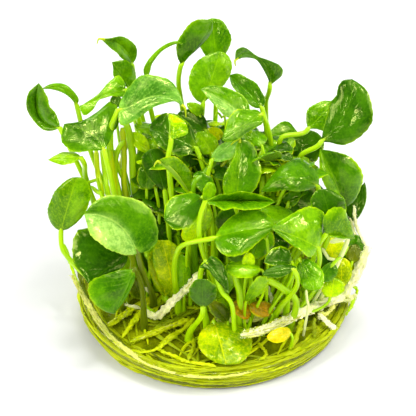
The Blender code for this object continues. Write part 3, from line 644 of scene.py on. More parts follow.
# Its tones in turn, over and under the height LOW_GROWTH, and the tones of its margins
LOW_GROWTH = 26 * MM
HIGH_TONES = ["dark", "deep", "dark", "green", "dark", "lime", "dark", "bright"]
LOW_TONES = ["bright", "deep", "lime", "fresh", "yellow", "dark"]
EDGE_TONES = ["lime", "yellow", "bright", "lime"]

# Where the random numbers of each piece start. Each leaf and main root adds its place in its list
SEEDS = {"leaf": 100, "small_leaf": 200, "root": 300, "inner_leaves": 21, "back_leaves": 22,
         "young_leaves": 23, "thin_stems": 17, "thin_roots": 7, "crossing_roots": 11,
         "circling_roots": 13}

# The lamps: the side that each shines from, how wide it looks from the plants in degrees, its power
# and whether it shows in reflections. The narrow glints give the wet leaves their highlights
LAMPS = {
    "key": ((0.32, -0.15, 0.93), 34, 1.3, True),
    "left_fill": ((-0.9, -0.3, 0.55), 28, 1.55, True),
    "right_fill": ((0.82, -0.3, 0.5), 26, 0.55, True),
    "back_light": ((-0.15, 0.6, 0.8), 32, 0.9, True),
    "front_light": ((-0.2, -0.83, 0.52), 8, 0.4, True),
    "front_fill": ((0, -0.9, 0.4), 60, 0.5, False),
    "top_glint": ((0.34, -0.1, 0.93), 8, 0.7, True),
    "right_glint": ((0.83, -0.05, 0.56), 8, 0.55, True),
    "back_glint": ((0, 0.22, 0.97), 8, 0.45, True),
    "left_glint": ((-0.5, -0.3, 0.81), 8, 0.5, True),
}
WORLD_LIGHT = 0.22

# The floor, just under the disc
FLOOR_HALF = 1.6
FLOOR_LEVEL = -0.1 * MM


def put(name, data):
    """A new object in the scene."""
    obj = bpy.data.objects.new(name, data)
    bpy.context.scene.collection.objects.link(obj)
    return obj


def unit(vector):
    """The vector at length one."""
    return vector / (np.linalg.norm(vector) + 1e-12)


def arc(base, control, tip, count):
    """Points of the curve from base to tip that leans towards control."""
    s = np.linspace(0, 1, count)[:, None]
    return (1 - s) ** 2 * base + 2 * s * (1 - s) * control + s * s * tip


def smooth_line(points, count):
    """Count points, evenly spaced in the spline's own steps, on a smooth curve through the places."""
    points = [np.asarray(p, float) for p in points]
    padded = [2 * points[0] - points[1]] + points + [2 * points[-1] - points[-2]]
    lengths = [np.linalg.norm(b - a) for a, b in zip(points, points[1:])]
    ends = np.concatenate([[0], np.cumsum(lengths)])
    line = []
    for place in np.linspace(0, ends[-1], count):
        i = min(int(np.searchsorted(ends, place, side="right")) - 1, len(lengths) - 1)
        t = (place - ends[i]) / lengths[i]
        a, b, c, d = padded[i:i + 4]
        line.append(0.5 * (2 * b + (c - a) * t + (2 * a - 5 * b + 4 * c - d) * t * t
                           + (3 * b - a - 3 * c + d) * t**3))
    return np.array(line)


def smooth_between(a, b, leaving, arriving, count):
    """Points of the smooth curve from a to b that leaves and arrives in the given directions."""
    length = np.linalg.norm(b - a)
    t = np.linspace(0, 1, count)[:, None]
    return ((2 * t**3 - 3 * t**2 + 1) * a + (t**3 - 2 * t**2 + t) * length * leaving
            + (3 * t**2 - 2 * t**3) * b + (t**3 - t**2) * length * arriving)


def directions(line):
    """The direction of the line at each of its points, at length one."""
    ahead = np.roll(line, -1, axis=0)
    behind = np.roll(line, 1, axis=0)
    ahead[-1], behind[0] = line[-1], line[0]
    step = ahead - behind
    return step / (np.linalg.norm(step, axis=1, keepdims=True) + 1e-12)


class Shape:
    """Points and faces that become one mesh. Each point has a place on a map and a colour."""

    def __init__(self):
        self.points, self.faces, self.maps, self.colours, self.slots = [], [], [], [], []

    def add(self, points, faces, maps, colours, slot):
        start = len(self.points)
        self.points += [tuple(p) for p in points]
        self.faces += [tuple(start + i for i in face) for face in faces]
        self.maps += [tuple(m) for m in maps]
        self.colours += [tuple(c) for c in colours]
        self.slots += [slot] * len(faces)

    def build(self, name, materials):
        mesh = bpy.data.meshes.new(name)
        mesh.from_pydata(self.points, [], self.faces)
        for material in materials:
            mesh.materials.append(material)
        mesh.polygons.foreach_set("material_index", self.slots)
        corner = np.empty(len(mesh.loops), np.int32)
        mesh.loops.foreach_get("vertex_index", corner)
        layer = mesh.uv_layers.new(name="blade")
        layer.data.foreach_set("uv", np.array(self.maps)[corner].ravel())
        tone = mesh.color_attributes.new("tone", "FLOAT_COLOR", "POINT")
        colours = np.ones((len(self.points), 4))
        colours[:, :3] = np.array(self.colours)
        tone.data.foreach_set("color", colours.ravel())
        mesh.shade_smooth()
        mesh.set_sharp_from_angle(angle=SHARP_EDGE)
        return put(name, mesh)


def ring_faces(i, sides):
    """The faces between ring i of a row of rings and the next."""
    faces = []
    for k in range(sides):
        n = (k + 1) % sides
        faces.append((i * sides + k, (i + 1) * sides + k, (i + 1) * sides + n, i * sides + n))
    return faces


def add_tube(shape, line, radii, colours, slot, sides, ragged=None, flat=1):
    """A closed tube along the line. ragged holds a factor of the radius for each point of a ring,
    and flat is the tube's height as a share of its width."""
    if ragged is None:
        ragged = np.ones((len(line), sides))
    heading = directions(line)
    side = np.cross(heading[0], UP if flat < 1 else ANY_SIDE)
    points, maps, tints = [], [], []
    travelled = np.concatenate([[0], np.cumsum(np.linalg.norm(np.diff(line, axis=0), axis=1))])
    for i, (centre, ahead, radius) in enumerate(zip(line, heading, radii)):
        side = unit(side - np.dot(side, ahead) * ahead)
        top = np.cross(side, ahead)
        for k in range(sides):
            angle = 2 * math.pi * k / sides
            reach = radius * ragged[i, k]
            points.append(centre + reach * (math.cos(angle) * side + math.sin(angle) * flat * top))
            maps.append((k / sides, travelled[i] / TUBE_MAP_LENGTH))
            tints.append(colours[i])
    last = len(line) - 1
    faces = []
    for i in range(last):
        faces += ring_faces(i, sides)
    faces += [tuple(range(sides)), tuple(last * sides + k for k in reversed(range(sides)))]
    shape.add(points, faces, maps, tints, slot)


def depth_field(spec):
    """How far back the blade lies at a place of the front view: a plane through the leaf's given
    places, bent to pass each of them."""
    keys = ["base", "tip", "left", "right"] + (["mid"] if spec["mid"] else [])
    given = np.array([spec[key] for key in keys], float)
    centre = given.mean(0)
    offsets = given - centre
    grip = offsets[:, :2].T @ offsets[:, :2] + np.eye(2) * PLANE_STIFFNESS
    slope = np.linalg.solve(grip, offsets[:, :2].T @ offsets[:, 2])
    left_over = offsets[:, 2] - offsets[:, :2] @ slope

    def back(px, py):
        away = np.hypot(given[:, 0] - px, given[:, 1] - py)
        weight = 1 / (away**2 + BEND_STIFFNESS)
        bend = (weight @ left_over) / weight.sum()
        return centre[2] + (np.array([px, py]) - centre[:2]) @ slope + bend

    return back


def midrib_line(spec, count):
    """The blade's midrib: through its given places, or else arched."""
    base, tip = at_depth(*spec["base"]), at_depth(*spec["tip"])
    if "rib" in spec:
        back = depth_field(spec)
        places = [at_depth(px, py, back(px, py)) for px, py in spec["rib"]]
        return smooth_line([base] + places + [tip], count)
    if spec["mid"]:
        control = 2 * at_depth(*spec["mid"]) - (base + tip) / 2
    else:
        across = at_depth(*spec["right"]) - at_depth(*spec["left"])
        sag = unit(np.cross(across, tip - base)) * BLADE_ARCH * np.linalg.norm(tip - base)
        control = (base + tip) / 2 + sag
    return arc(base, control, tip, count)


def fullness(s, widest):
    """Half-width of the blade at s as a share of its greatest."""
    base_power = TIP_SHARPNESS * widest / (1 - widest)
    return (s / widest) ** base_power * ((1 - s) / (1 - widest)) ** TIP_SHARPNESS


def margin_line(spec, key, rib):
    """The blade's left or right margin, with as many points as the midrib."""
    count = len(rib)
    if key + "_edge" in spec:
        back = depth_field(spec)
        places = [at_depth(px, py, back(px, py)) for px, py in spec[key + "_edge"]]
        return smooth_line([rib[0]] + places + [rib[-1]], count)
    s = np.linspace(0, 1, count)[:, None]
    widest = int(round(spec["widest"] * (count - 1)))
    reach = at_depth(*spec[key]) - rib[widest]
    return rib + reach * fullness(s, spec["widest"])


def normals_of(grid):
    """Unit normals of a grid of points, rows by columns."""
    along = np.gradient(grid, axis=0)
    across = np.gradient(grid, axis=1)
    normal = np.cross(across, along)
    return normal / (np.linalg.norm(normal, axis=2, keepdims=True) + 1e-12)


def blade_grid(rib, left, right, looks, wave, columns):
    """The blade's middle surface: one row for each station, from its left to its right margin."""
    share = np.linspace(-1, 1, columns)
    s = np.linspace(0, 1, len(rib))
    heading = directions(rib)
    crown = looks.get("crown", CROWN)
    ripple = looks.get("ripple", RIPPLE)
    depth = looks.get("dents", DENTS)
    grid = np.empty((len(rib), columns, 3))
    for i in range(len(rib)):
        for j, u in enumerate(share):
            edge = left[i] if u < 0 else right[i]
            a = abs(u)
            reach = edge - rib[i]
            width = np.linalg.norm(reach)
            outward = reach if u > 0 else -reach
            top = unit(np.cross(outward, heading[i]))
            bulge = crown * 2 * a * (1 - a)
            waving = ripple * a**2 * (math.sin(RIPPLE_WAVES[0] * s[i] + wave[0] + 2 * u)
                                      + 0.6 * math.sin(RIPPLE_WAVES[1] * s[i] + wave[1] - u))
            vein = s[i] - VEIN_SLANT * a**VEIN_BEND
            pleats = PLEATS * math.sin(PLEAT_WAVES * vein) * math.sin(math.pi * a)
            dents = depth * 4 * a * (1 - a) * (math.sin(DENT_WAVES[0] * s[i] + 5 * u + wave[1])
                                               + 0.7 * math.sin(DENT_WAVES[1] * s[i] - 8 * u + wave[0]))
            groove = GROOVE_DEPTH * math.exp(-(a * width / GROOVE_WIDTH) ** 2)
            raised = (bulge + waving + pleats + dents) * width - groove
            notch = 1 + NOTCHES * a**4 * (math.sin(NOTCH_WAVES[0] * s[i] + wave[0])
                                          * math.sin(NOTCH_WAVES[1] * s[i] + wave[1]))
            grid[i, j] = rib[i] + reach * a * notch + top * raised
    return grid


def grid_faces(rows, columns):
    """The faces of both sides of a grid and of its rim, for points listed side after side."""
    size = rows * columns
    upper = []
    for i in range(rows - 1):
        for j in range(columns - 1):
            a = i * columns + j
            upper.append((a, a + 1, a + columns + 1, a + columns))
    lower = [tuple(size + k for k in reversed(face)) for face in upper]
    rim = []
    for i in range(rows - 1):
        for j in (0, columns - 1):
            a, b = i * columns + j, (i + 1) * columns + j
            quad = (a, b, b + size, a + size)
            rim.append(quad if j == 0 else tuple(reversed(quad)))
    for j in range(columns - 1):
        for i in (0, rows - 1):
            a, b = i * columns + j, i * columns + j + 1
            quad = (a, b, b + size, a + size)
            rim.append(quad if i == rows - 1 else tuple(reversed(quad)))
    return upper, lower, rim


def blade_colours(looks, share, s, rng):
    """The colour of each point of the blade: lighter at its base and its margin, and on its right
    half, where that has a colour of its own, a painted lighter or darker shade.
    """
    tone = TONES[looks["tone"]] * rng.uniform(*TONE_SPREAD)
    # A right half in another colour is painted lighter or darker shade of that half
    other = TONES[looks["right_tone"]] if "right_tone" in looks else tone
    edge = TONES[looks["edge"]] if "edge" in looks else (tone + LIME) / 2
    side = np.clip(0.5 + HALVES_CONTRAST * share, 0, 1)[None, :, None]
    blade = tone * (1 - side) + other * side
    out = np.abs(share)
    rim = EDGE_STRENGTH * (np.clip(1 - (1 - out) / EDGE_WIDTH, 0, 1) ** 1.5)[None, :]
    start = np.clip(1 - s / PALE_BASE, 0, 1)[:, None] * np.clip(1 - out * 1.3, 0, 1)[None, :]
    blend = np.maximum(rim, start)[..., None]
    return blade * (1 - blend) + edge * blend


def add_blade(shape, rib, left, right, looks, rng, columns):
    """Both faces of a blade, which meet at its margins. Gives the direction of its upper face."""
    grid = blade_grid(rib, left, right, looks, rng.uniform(0, 2 * math.pi, 2), columns)
    normal = normals_of(grid)
    rows = len(rib)
    share = np.linspace(-1, 1, columns)
    s = np.linspace(0, 1, rows)
    thick = BLADE_THICKNESS / 2 * (1 - share**6)
    thick[0] = thick[-1] = MARGIN_THICKNESS / 2
    upper = (grid + normal * thick[None, :, None]).reshape(-1, 3)
    lower = (grid - normal * thick[None, :, None]).reshape(-1, 3)
    colours = blade_colours(looks, share, s, rng).reshape(-1, 3)
    maps = np.stack(np.meshgrid((share + 1) / 2, s), axis=-1).reshape(-1, 2)
    up_faces, low_faces, rim_faces = grid_faces(rows, columns)
    first = len(shape.faces)
    shape.add(np.concatenate([upper, lower]), up_faces + low_faces + rim_faces,
              np.concatenate([maps] * 2), np.concatenate([colours] * 2), 0)
    for k in range(first + len(up_faces), first + 2 * len(up_faces)):
        shape.slots[k] = 1
    return normal[:, columns // 2]


def petiole_line(spec, rib):
    """The petiole's middle line, from its foot to the blade's base."""
    base, direction = rib[0], unit(rib[2] - rib[0])
    foot = in_gel(spec["foot"])
    arriving = unit(spec["rise"] * UP + STEM_LEAN * direction)
    if not spec["via"]:
        return smooth_between(foot, base, UP, arriving, STEM_POINTS)
    via = at_depth(*spec["via"])
    passing = unit(base - foot)
    lower = smooth_between(foot, via, UP, passing, HALF_STEM_POINTS)
    upper = smooth_between(via, base, passing, arriving, HALF_STEM_POINTS)
    return np.concatenate([lower[:-1], upper])


def add_stalk(shape, stem, rib, top, tone, stem_tone, radius, foot, sides):
    """The petiole, which goes on under the blade as its midrib and fades out near the tip."""
    last = int(len(rib) * RIB_END)
    n, m = len(stem), last - 1
    stem_radii = foot + (radius - foot) * np.clip(np.linspace(0, FOOT_TAPER, n), 0, 1)
    rib_radii = np.linspace(radius * 0.8, RIB_END_RADIUS, m)
    rib_radii[:3] = np.minimum(rib_radii[:3], radius * RIB_START)
    sunk = rib_radii * np.clip(np.linspace(0.3, 4, m), 0, 1)
    under = rib[1:last] - top[1:last] * sunk[:, None]
    line = np.concatenate([stem, under])
    radii = np.concatenate([stem_radii, rib_radii])
    pale = TONES[tone] + RIB_PALENESS * (LIME - TONES[tone])
    fade = np.concatenate([np.zeros(n), np.linspace(0, 1, m)])[:, None]
    add_tube(shape, line, radii, TONES[stem_tone] * (1 - fade) + pale * fade, 2, sides)


def add_drip(shape, spec, rib):
    """The thin end of the tip."""
    back = spec["tip"][2]
    places = [at_depth(px, py, back) for px, py in spec["drip"]]
    line = smooth_line([rib[-3], rib[-1]] + places, 8)
    radii = np.linspace(*DRIP_RADII, len(line))
    add_tube(shape, line, radii, [TONES["yellow"]] * len(line), 2, SMALL_SIDES)


def add_leaf(shape, spec, seed, small=False):
    """A leaf: its blade, and its petiole with the midrib."""
    stations, across = (SMALL_STATIONS, SMALL_ACROSS) if small else (STATIONS, ACROSS)
    size, sides = (SMALL_STEM, SMALL_SIDES) if small else (1, TUBE_SIDES)
    rng = np.random.default_rng(seed)
    rib = midrib_line(spec, stations + 1)
    left, right = margin_line(spec, "left", rib), margin_line(spec, "right", rib)
    top = add_blade(shape, rib, left, right, spec, rng, across + 1)
    add_stalk(shape, petiole_line(spec, rib), rib, top, spec["tone"], spec.get("stem_tone", "lime"),
              STEM_RADIUS * size, FOOT_RADIUS * size, sides)
    if "drip" in spec:
        add_drip(shape, spec, rib)


def inside(place, corners):
    """Whether a place of the front view lies within the corners."""
    x, y = place
    within = False
    for (x0, y0), (x1, y1) in zip(corners, corners[1:] + corners[:1]):
        if (y0 > y) != (y1 > y) and x < x0 + (y - y0) / (y1 - y0) * (x1 - x0):
            within = not within
    return within


def add_sprout(shape, rng, foot, base, tip, half_width, tone):
    """A small leaf between points in space, whose blade arches and droops at its tip."""
    length = np.linalg.norm(tip - base)
    side = unit(np.cross(tip - base, UP + 0.35 * rng.normal(size=3)))
    over = unit(np.cross(side, tip - base))
    control = (base + tip) / 2 + over * length * rng.uniform(0.15, 0.4)
    rib = arc(base, control, tip, SMALL_STATIONS + 1)
    width = half_width * fullness(np.linspace(0, 1, len(rib))[:, None], WIDEST)
    droop = over * rng.uniform(-0.35, 0.2)
    left, right = rib - (side - droop) * width, rib + (side + droop) * width
    looks = {"tone": tone, "edge": EDGE_TONES[rng.integers(len(EDGE_TONES))],
             "crown": rng.uniform(0.08, 0.24), "ripple": rng.uniform(0.03, 0.12)}
    top = add_blade(shape, rib, left, right, looks, rng, SMALL_ACROSS + 1)
    arriving = unit(UP + STEM_LEAN * unit(tip - base))
    leaving = unit(UP + 0.3 * rng.normal(size=3))
    stem = smooth_between(foot, base, leaving, arriving, SMALL_STEM_POINTS)
    radius = rng.uniform(*SPROUT_STEMS) * MM
    add_stalk(shape, stem, rib, top, tone, "lime", radius, SPROUT_FOOT, SMALL_SIDES)


def random_sprout(rng, back_side, size):
    """The foot, base, tip and half-width of a small leaf somewhere in the clump."""
    turn = rng.uniform(0.05, 0.95) * math.pi if back_side else rng.uniform(0, 2 * math.pi)
    out = np.array([math.cos(turn), math.sin(turn), 0.0])
    nearest, farthest = (0.3, BACK_REACH) if back_side else (0, INNER_REACH)
    reach = math.sqrt(rng.uniform(nearest, 1)) * farthest
    foot = out * reach * rng.uniform(0.75, 1.0) + UP * FOOT_HEIGHT
    scatter = [2 * rng.normal(), 2 * rng.normal(), rng.uniform(*SPROUT_HEIGHT)]
    base = out * reach + np.array(scatter) * MM
    heading = unit(out * rng.uniform(0.2, 1.2) + 0.8 * rng.normal(size=3) * np.array([1, 1, 0.3])
                   + UP * rng.uniform(-0.2, 0.6))
    length = rng.uniform(*SPROUT_LENGTH) * size * MM
    return foot, base, base + heading * length, length * rng.uniform(0.3, 0.42)


def fill_clump(name, materials):
    """Small leaves that fill the clump behind the leaves that the front view shows."""
    count, back_side, size = GROWTH[name]
    rng = np.random.default_rng(SEEDS[name])
    shape = Shape()
    placed = 0
    while placed < count:
        foot, base, tip, half_width = random_sprout(rng, back_side, size)
        places = [shown_at(p) for p in (base, tip, (base + tip) / 2)]
        hidden = all(inside(place, CANOPY) for place in places)
        behind = min(base[1], tip[1]) > FRONT_LIMIT
        within = math.hypot(tip[0], tip[1]) < SIDE_LIMIT
        if hidden and behind and within:
            tones = LOW_TONES if base[2] < LOW_GROWTH else HIGH_TONES
            add_sprout(shape, rng, foot, base, tip, half_width, tones[placed % len(tones)])
            placed += 1
    return shape.build(name, materials)


class Nodes:
    """A short way to write a material's nodes."""

    def __init__(self, name):
        self.material = bpy.data.materials.new(name)
        self.material.use_nodes = True
        self.tree = self.material.node_tree
        self.shader = self.tree.nodes["Principled BSDF"]

    def new(self, kind, **settings):
        """A node of this kind, with these settings."""
        node = self.tree.nodes.new(kind)
        for key, value in settings.items():
            setattr(node, key, value)
        return node

    def link(self, source, target):
        self.tree.links.new(source, target)

    def math(self, operation, a, b=None, clamp=False):
        """The outcome of an operation on numbers or on other nodes' values."""
        node = self.new("ShaderNodeMath", operation=operation, use_clamp=clamp)
        for socket, value in zip(node.inputs, (a, b)):
            if isinstance(value, (int, float)):
                socket.default_value = value
            elif value is not None:
                self.link(value, socket)
        return node.outputs[0]

    def noise(self, scale, detail, roughness=0.55, vector=None):
        """Cloudy noise over the piece's own space, or over the vector."""
        node = self.new("ShaderNodeTexNoise")
        node.inputs["Scale"].default_value = scale
        node.inputs["Detail"].default_value = detail
        node.inputs["Roughness"].default_value = roughness
        if vector is None:
            vector = self.new("ShaderNodeTexCoord").outputs["Object"]
        self.link(vector, node.inputs["Vector"])
        return node.outputs["Fac"]

    def streaks(self, across, along, detail, roughness=0.55):
        """Noise that is drawn out along the map's second direction."""
        x, y = self.place()
        drawn_out = self.new("ShaderNodeCombineXYZ")
        self.link(self.math("MULTIPLY", x, across), drawn_out.inputs["X"])
        self.link(self.math("MULTIPLY", y, along), drawn_out.inputs["Y"])
        return self.noise(1.0, detail, roughness, drawn_out.outputs[0])

    def ranged(self, value, low, high, to_low, to_high):
        """The value, moved from the range low to high into the range to_low to to_high."""
        node = self.new("ShaderNodeMapRange")
        self.link(value, node.inputs["Value"])
        ends = {"From Min": low, "From Max": high, "To Min": to_low, "To Max": to_high}
        for key, number in ends.items():
            node.inputs[key].default_value = number
        return node.outputs["Result"]

    def mix(self, factor, a, b, blend="MIX"):
        """Colour b over colour a, by the factor."""
        node = self.new("ShaderNodeMix", data_type="RGBA", blend_type=blend)
        for socket, value in zip((node.inputs[0], node.inputs[6], node.inputs[7]), (factor, a, b)):
            if isinstance(value, (int, float)):
                socket.default_value = value
            elif isinstance(value, tuple):
                socket.default_value = (*value, 1)
            else:
                self.link(value, socket)
        return node.outputs[2]

    def bump(self, height, strength, distance):
        """Fine relief of the surface."""
        node = self.new("ShaderNodeBump")
        node.inputs["Strength"].default_value = strength
        node.inputs["Distance"].default_value = distance
        self.link(height, node.inputs["Height"])
        self.link(node.outputs["Normal"], self.shader.inputs["Normal"])

    def set(self, **values):
        """Sets or links the shader's inputs, whose names have _ for each space here."""
        for key, value in values.items():
            socket = self.shader.inputs[key.replace("_", " ")]
            if isinstance(value, (int, float, tuple)):
                socket.default_value = value
            else:
                self.link(value, socket)

    def tone(self):
        """The colour that the piece's points hold."""
        return self.new("ShaderNodeVertexColor", layer_name="tone").outputs["Color"]

    def place(self):
        """The two coordinates of the piece's map."""
        node = self.new("ShaderNodeSeparateXYZ")
        self.link(self.new("ShaderNodeUVMap", uv_map="blade").outputs["UV"], node.inputs[0])
        return node.outputs["X"], node.outputs["Y"]


def side_veins(n, count, width):
    """Masks of the side veins and of the midrib, from the blade's map."""
    x, y = n.place()
    out = n.math("ABSOLUTE", n.math("SUBTRACT", n.math("MULTIPLY", x, 2.0), 1.0))
    curved = n.math("MULTIPLY", n.math("POWER", out, VEIN_BEND), VEIN_SLANT)
    phase = n.math("MULTIPLY", n.math("SUBTRACT", y, curved), float(count))
    ridge = n.math("PINGPONG", phase, 0.5)
    veins = n.math("SUBTRACT", 1.0, n.math("DIVIDE", ridge, width), clamp=True)
    rib = n.math("SUBTRACT", 1.0, n.math("DIVIDE", out, 0.05), clamp=True)
    return veins, rib


def leaf_upper():
    """A blade's wet upper face: patches, cells and specks over its tone, and pale veins."""
    n = Nodes("leaf_upper")
    tone = n.tone()
    cloud, cells, specks = n.noise(95.0, 2.0), n.noise(420.0, 4.0, 0.6), n.noise(1500.0, 2.0)
    veins, rib = side_veins(n, 9, 0.16)
    light = n.mix(1.0, tone, (1.9, 1.45, 1.6), "MULTIPLY")
    dappled = n.mix(n.ranged(cloud, 0.46, 0.62, 0.0, 0.9), tone, (0.32, 0.5, 0.2), "MULTIPLY")
    sunned = n.mix(n.ranged(cloud, 0.5, 0.34, 0.0, 0.3), dappled, light)
    celled = n.mix(n.ranged(cells, 0.42, 0.6, 0.0, 0.6), sunned, (0.42, 0.62, 0.3), "MULTIPLY")
    lit = n.mix(n.ranged(specks, 0.5, 0.68, 0.0, 0.3), celled, light)
    dotted = n.mix(n.ranged(specks, 0.5, 0.32, 0.0, 0.3), lit, (0.4, 0.6, 0.2), "MULTIPLY")
    veined = n.mix(n.math("MULTIPLY", veins, 0.14), dotted, light)
    n.set(Base_Color=n.mix(n.math("MULTIPLY", rib, 0.5), veined, light))
    n.set(Roughness=n.ranged(n.noise(150.0, 2.0), 0.35, 0.65, 0.06, 0.17))
    n.set(IOR=1.45, Specular_IOR_Level=0.55, Specular_Tint=(0.95, 1.0, 0.28, 1.0))
    n.set(Subsurface_Weight=0.3, Subsurface_Scale=0.6 * MM, Subsurface_Radius=(0.8, 1.0, 0.2))
    rough = n.math("ADD", n.math("MULTIPLY", cells, 0.9), n.math("MULTIPLY", specks, 0.35))
    n.bump(n.math("ADD", n.math("MULTIPLY", veins, -0.2), rough), 0.5, 0.18 * MM)
    return n.material


def leaf_under():
    """A blade's paler and duller underside."""
    n = Nodes("leaf_under")
    tone = n.tone()
    veins, rib = side_veins(n, 10, 0.2)
    pale = n.mix(0.3, tone, (0.36, 0.54, 0.06))
    light = n.mix(1.0, pale, (1.4, 1.2, 1.4), "MULTIPLY")
    veined = n.mix(n.math("MULTIPLY", n.math("MAXIMUM", veins, rib), 0.4), pale, light)
    n.set(Base_Color=veined, Roughness=0.42, Specular_Tint=(0.85, 1.0, 0.6, 1.0))
    n.set(Subsurface_Weight=0.25, Subsurface_Scale=0.6 * MM, Subsurface_Radius=(0.8, 1.0, 0.2))
    n.bump(veins, 0.3, 0.2 * MM)
    return n.material


def stem_surface():
    """Petioles and bare stems, finely streaked along their length."""
    n = Nodes("stem")
    tone = n.tone()
    lines = n.streaks(14.0, 1.5, 3.0)
    shaded = n.mix(n.ranged(lines, 0.35, 0.65, 0.0, 0.45), tone, (0.5, 0.66, 0.2), "MULTIPLY")
    n.set(Base_Color=shaded, Roughness=0.28, Specular_Tint=(0.9, 1.0, 0.6, 1.0))
    n.set(Subsurface_Weight=0.35, Subsurface_Scale=0.8 * MM, Subsurface_Radius=(0.9, 1.0, 0.2))
    n.bump(lines, 0.25, 0.2 * MM)
    return n.material


def root_surface():
    """Fibrous roots, stained here and there."""
    n = Nodes("root")
    tone = n.tone()
    fibres = n.streaks(11.0, 3.0, 5.0, 0.65)
    stain = n.noise(160.0, 2.0)
    stained = n.mix(n.ranged(stain, 0.48, 0.64, 0.0, 0.4), tone, (0.6, 0.78, 0.12), "MULTIPLY")
    # Paler fibres; for cream and straw roots this colour goes past full white, painted light that
    # brightens them beyond their lighting
    pale = n.mix(1.0, tone, (1.6, 1.3, 1.5), "MULTIPLY")
    fuzzy = n.mix(n.ranged(fibres, 0.45, 0.7, 0.0, 0.8), stained, pale)
    n.set(Base_Color=fuzzy, Roughness=0.35, Specular_IOR_Level=0.3)
    n.set(Specular_Tint=(1.0, 1.0, 0.5, 1.0))
    n.set(Subsurface_Weight=0.3, Subsurface_Scale=0.8 * MM, Subsurface_Radius=(1.0, 1.0, 0.4))
    n.bump(fibres, 0.8, 0.35 * MM)
    return n.material


def gel_surface():
    """Clear gel with flat streaks and hollows, and a body that takes up blue light. Its colour is
    painted darker in the hollows and between the streaks, as painted shade.
    """
    n = Nodes("gel")
    flat = n.new("ShaderNodeMapping")
    flat.inputs["Scale"].default_value = (70, 70, 900)
    n.link(n.new("ShaderNodeTexCoord").outputs["Object"], flat.inputs["Vector"])
    streaks = n.noise(1.0, 4.0, 0.6, flat.outputs[0])
    hollows = n.noise(150.0, 4.0)
    depth = n.math("MULTIPLY", n.ranged(hollows, 0.38, 0.6, 0.0, 1.0),
                   n.ranged(streaks, 0.3, 0.6, 0.3, 1.0))
    # The darker colour, in the hollows and between the streaks, is painted shade
    body = n.mix(depth, (0.20, 0.26, 0.001), (0.62, 0.71, 0.003))
    n.set(Base_Color=body, Roughness=0.1, Transmission_Weight=0.6, IOR=1.34)
    n.set(Specular_Tint=(1.0, 1.0, 0.7, 1.0))
    n.bump(n.math("ADD", streaks, hollows), 0.5, 0.5 * MM)
    absorb = n.new("ShaderNodeVolumeAbsorption")
    absorb.inputs["Color"].default_value = (0.62, 0.78, 0.02, 1.0)
    absorb.inputs["Density"].default_value = 40.0
    n.link(absorb.outputs[0], n.tree.nodes["Material Output"].inputs["Volume"])
    return n.material


def floor_surface():
    n = Nodes("floor")
    grain = n.noise(40.0, 2.0)
    n.set(Base_Color=n.mix(grain, (0.73, 0.73, 0.725), (0.75, 0.75, 0.745)), Roughness=0.6)
    return n.material


def add_root(shape, line, thickness, tone, rng, sides):
    """A tube that thickens and thins, with an uneven skin. Its thickness is in mm."""
    s = np.linspace(0, 1, len(line))
    swell = 0.95 + 0.16 * np.sin(11 * s + rng.uniform(0, 6)) + 0.02 * rng.normal(size=len(s))
    radii = thickness / 2 * MM * swell * np.clip(0.3 + 9 * np.minimum(s, 1 - s), 0, 1)
    ragged = ROOT_ROUGHNESS * rng.normal(size=(len(line) + 2, sides))
    ragged = np.clip(1 + ragged[:-2] + ragged[1:-1] + 0.6 * ragged[2:], 0.5, 1.8)
    colour = np.clip(TONES[tone] * rng.uniform(0.85, 1.1), 0, 1)
    flat = BROAD_FLATNESS if thickness > BROAD_ROOT else THIN_FLATNESS
    radii = np.clip(radii, LEAST_ROOT_RADIUS, None)
    add_tube(shape, line, radii, [colour] * len(line), 0, sides, ragged, flat)


def add_hairs(shape, line, thickness, tone, count, rng):
    """Fine short hairs on a root, which fray its outline."""
    heading = directions(line)
    for _ in range(count):
        k = rng.integers(1, len(line) - 1)
        out = unit(np.cross(heading[k], rng.normal(size=3)))
        start = line[k] + heading[k] * rng.normal() * 0.5 * MM + out * thickness * 0.36 * MM
        lean = heading[k] * rng.choice((-1, 1)) * rng.uniform(0.4, 1.6)
        end = start + (out + lean) * rng.uniform(0.2, 0.55) * MM
        if end[2] > GEL_TOP:
            hair = np.array([start, (start + end) / 2, end])
            add_tube(shape, hair, HAIR_RADII, [TONES[tone]] * len(hair), 0, HAIR_SIDES)


def add_strands(shape, line, thickness, tones, count, rng):
    """Thin strands that run along a main root, on it and beside it."""
    side = np.cross(directions(line), UP)
    for k in range(count):
        first = rng.integers(0, len(line) // 2)
        part = slice(first, first + rng.integers(len(line) // 3, len(line) // 2))
        s = np.linspace(0, 1, len(line[part]))[:, None]
        sway = 0.12 * np.sin(7 * s + rng.uniform(0, 6)) + 0.1 * s * rng.normal()
        place = (rng.uniform(-0.5, 0.5) + sway) * thickness * MM
        lift = 0.2 * thickness * np.sqrt(np.clip(1 - (place / (0.5 * thickness * MM)) ** 2, 0, 1))
        add_root(shape, line[part] + side[part] * place + UP * lift * MM, rng.uniform(0.35, 0.6),
                 tones[k % len(tones)], rng, STRAND_SIDES)


def make_root(name, material, seed):
    """A main root, with its strands and hairs."""
    rng = np.random.default_rng(seed)
    places, thickness = ROOTS[name]
    count = len(places)
    line = smooth_line([at_height(*place) for place in places], MAIN_ROOT_POINTS * count)
    shape = Shape()
    tone = ROOT_TONES[name]
    tones = [tone, "straw", tone, "yellow"]
    add_root(shape, line, thickness, tone, rng, MAIN_ROOT_SIDES)
    add_strands(shape, line, thickness, tones, MAIN_ROOT_STRANDS * count, rng)
    add_hairs(shape, line, thickness, tone, MAIN_ROOT_HAIRS * count, rng)
    return shape.build(name + "_skin", [material])


def make_thin_roots(material):
    """The thinner roots that the front view shows one by one."""
    rng = np.random.default_rng(SEEDS["thin_roots"])
    shape = Shape()
    for places, thickness, tone in THIN_ROOTS:
        count = len(places)
        line = smooth_line([at_height(*place) for place in places], THIN_ROOT_POINTS * count)
        add_root(shape, line, thickness, tone, rng, THIN_ROOT_SIDES)
        add_hairs(shape, line, thickness, tone, THIN_ROOT_HAIRS * count, rng)
    return shape.build("thin_roots", [material])


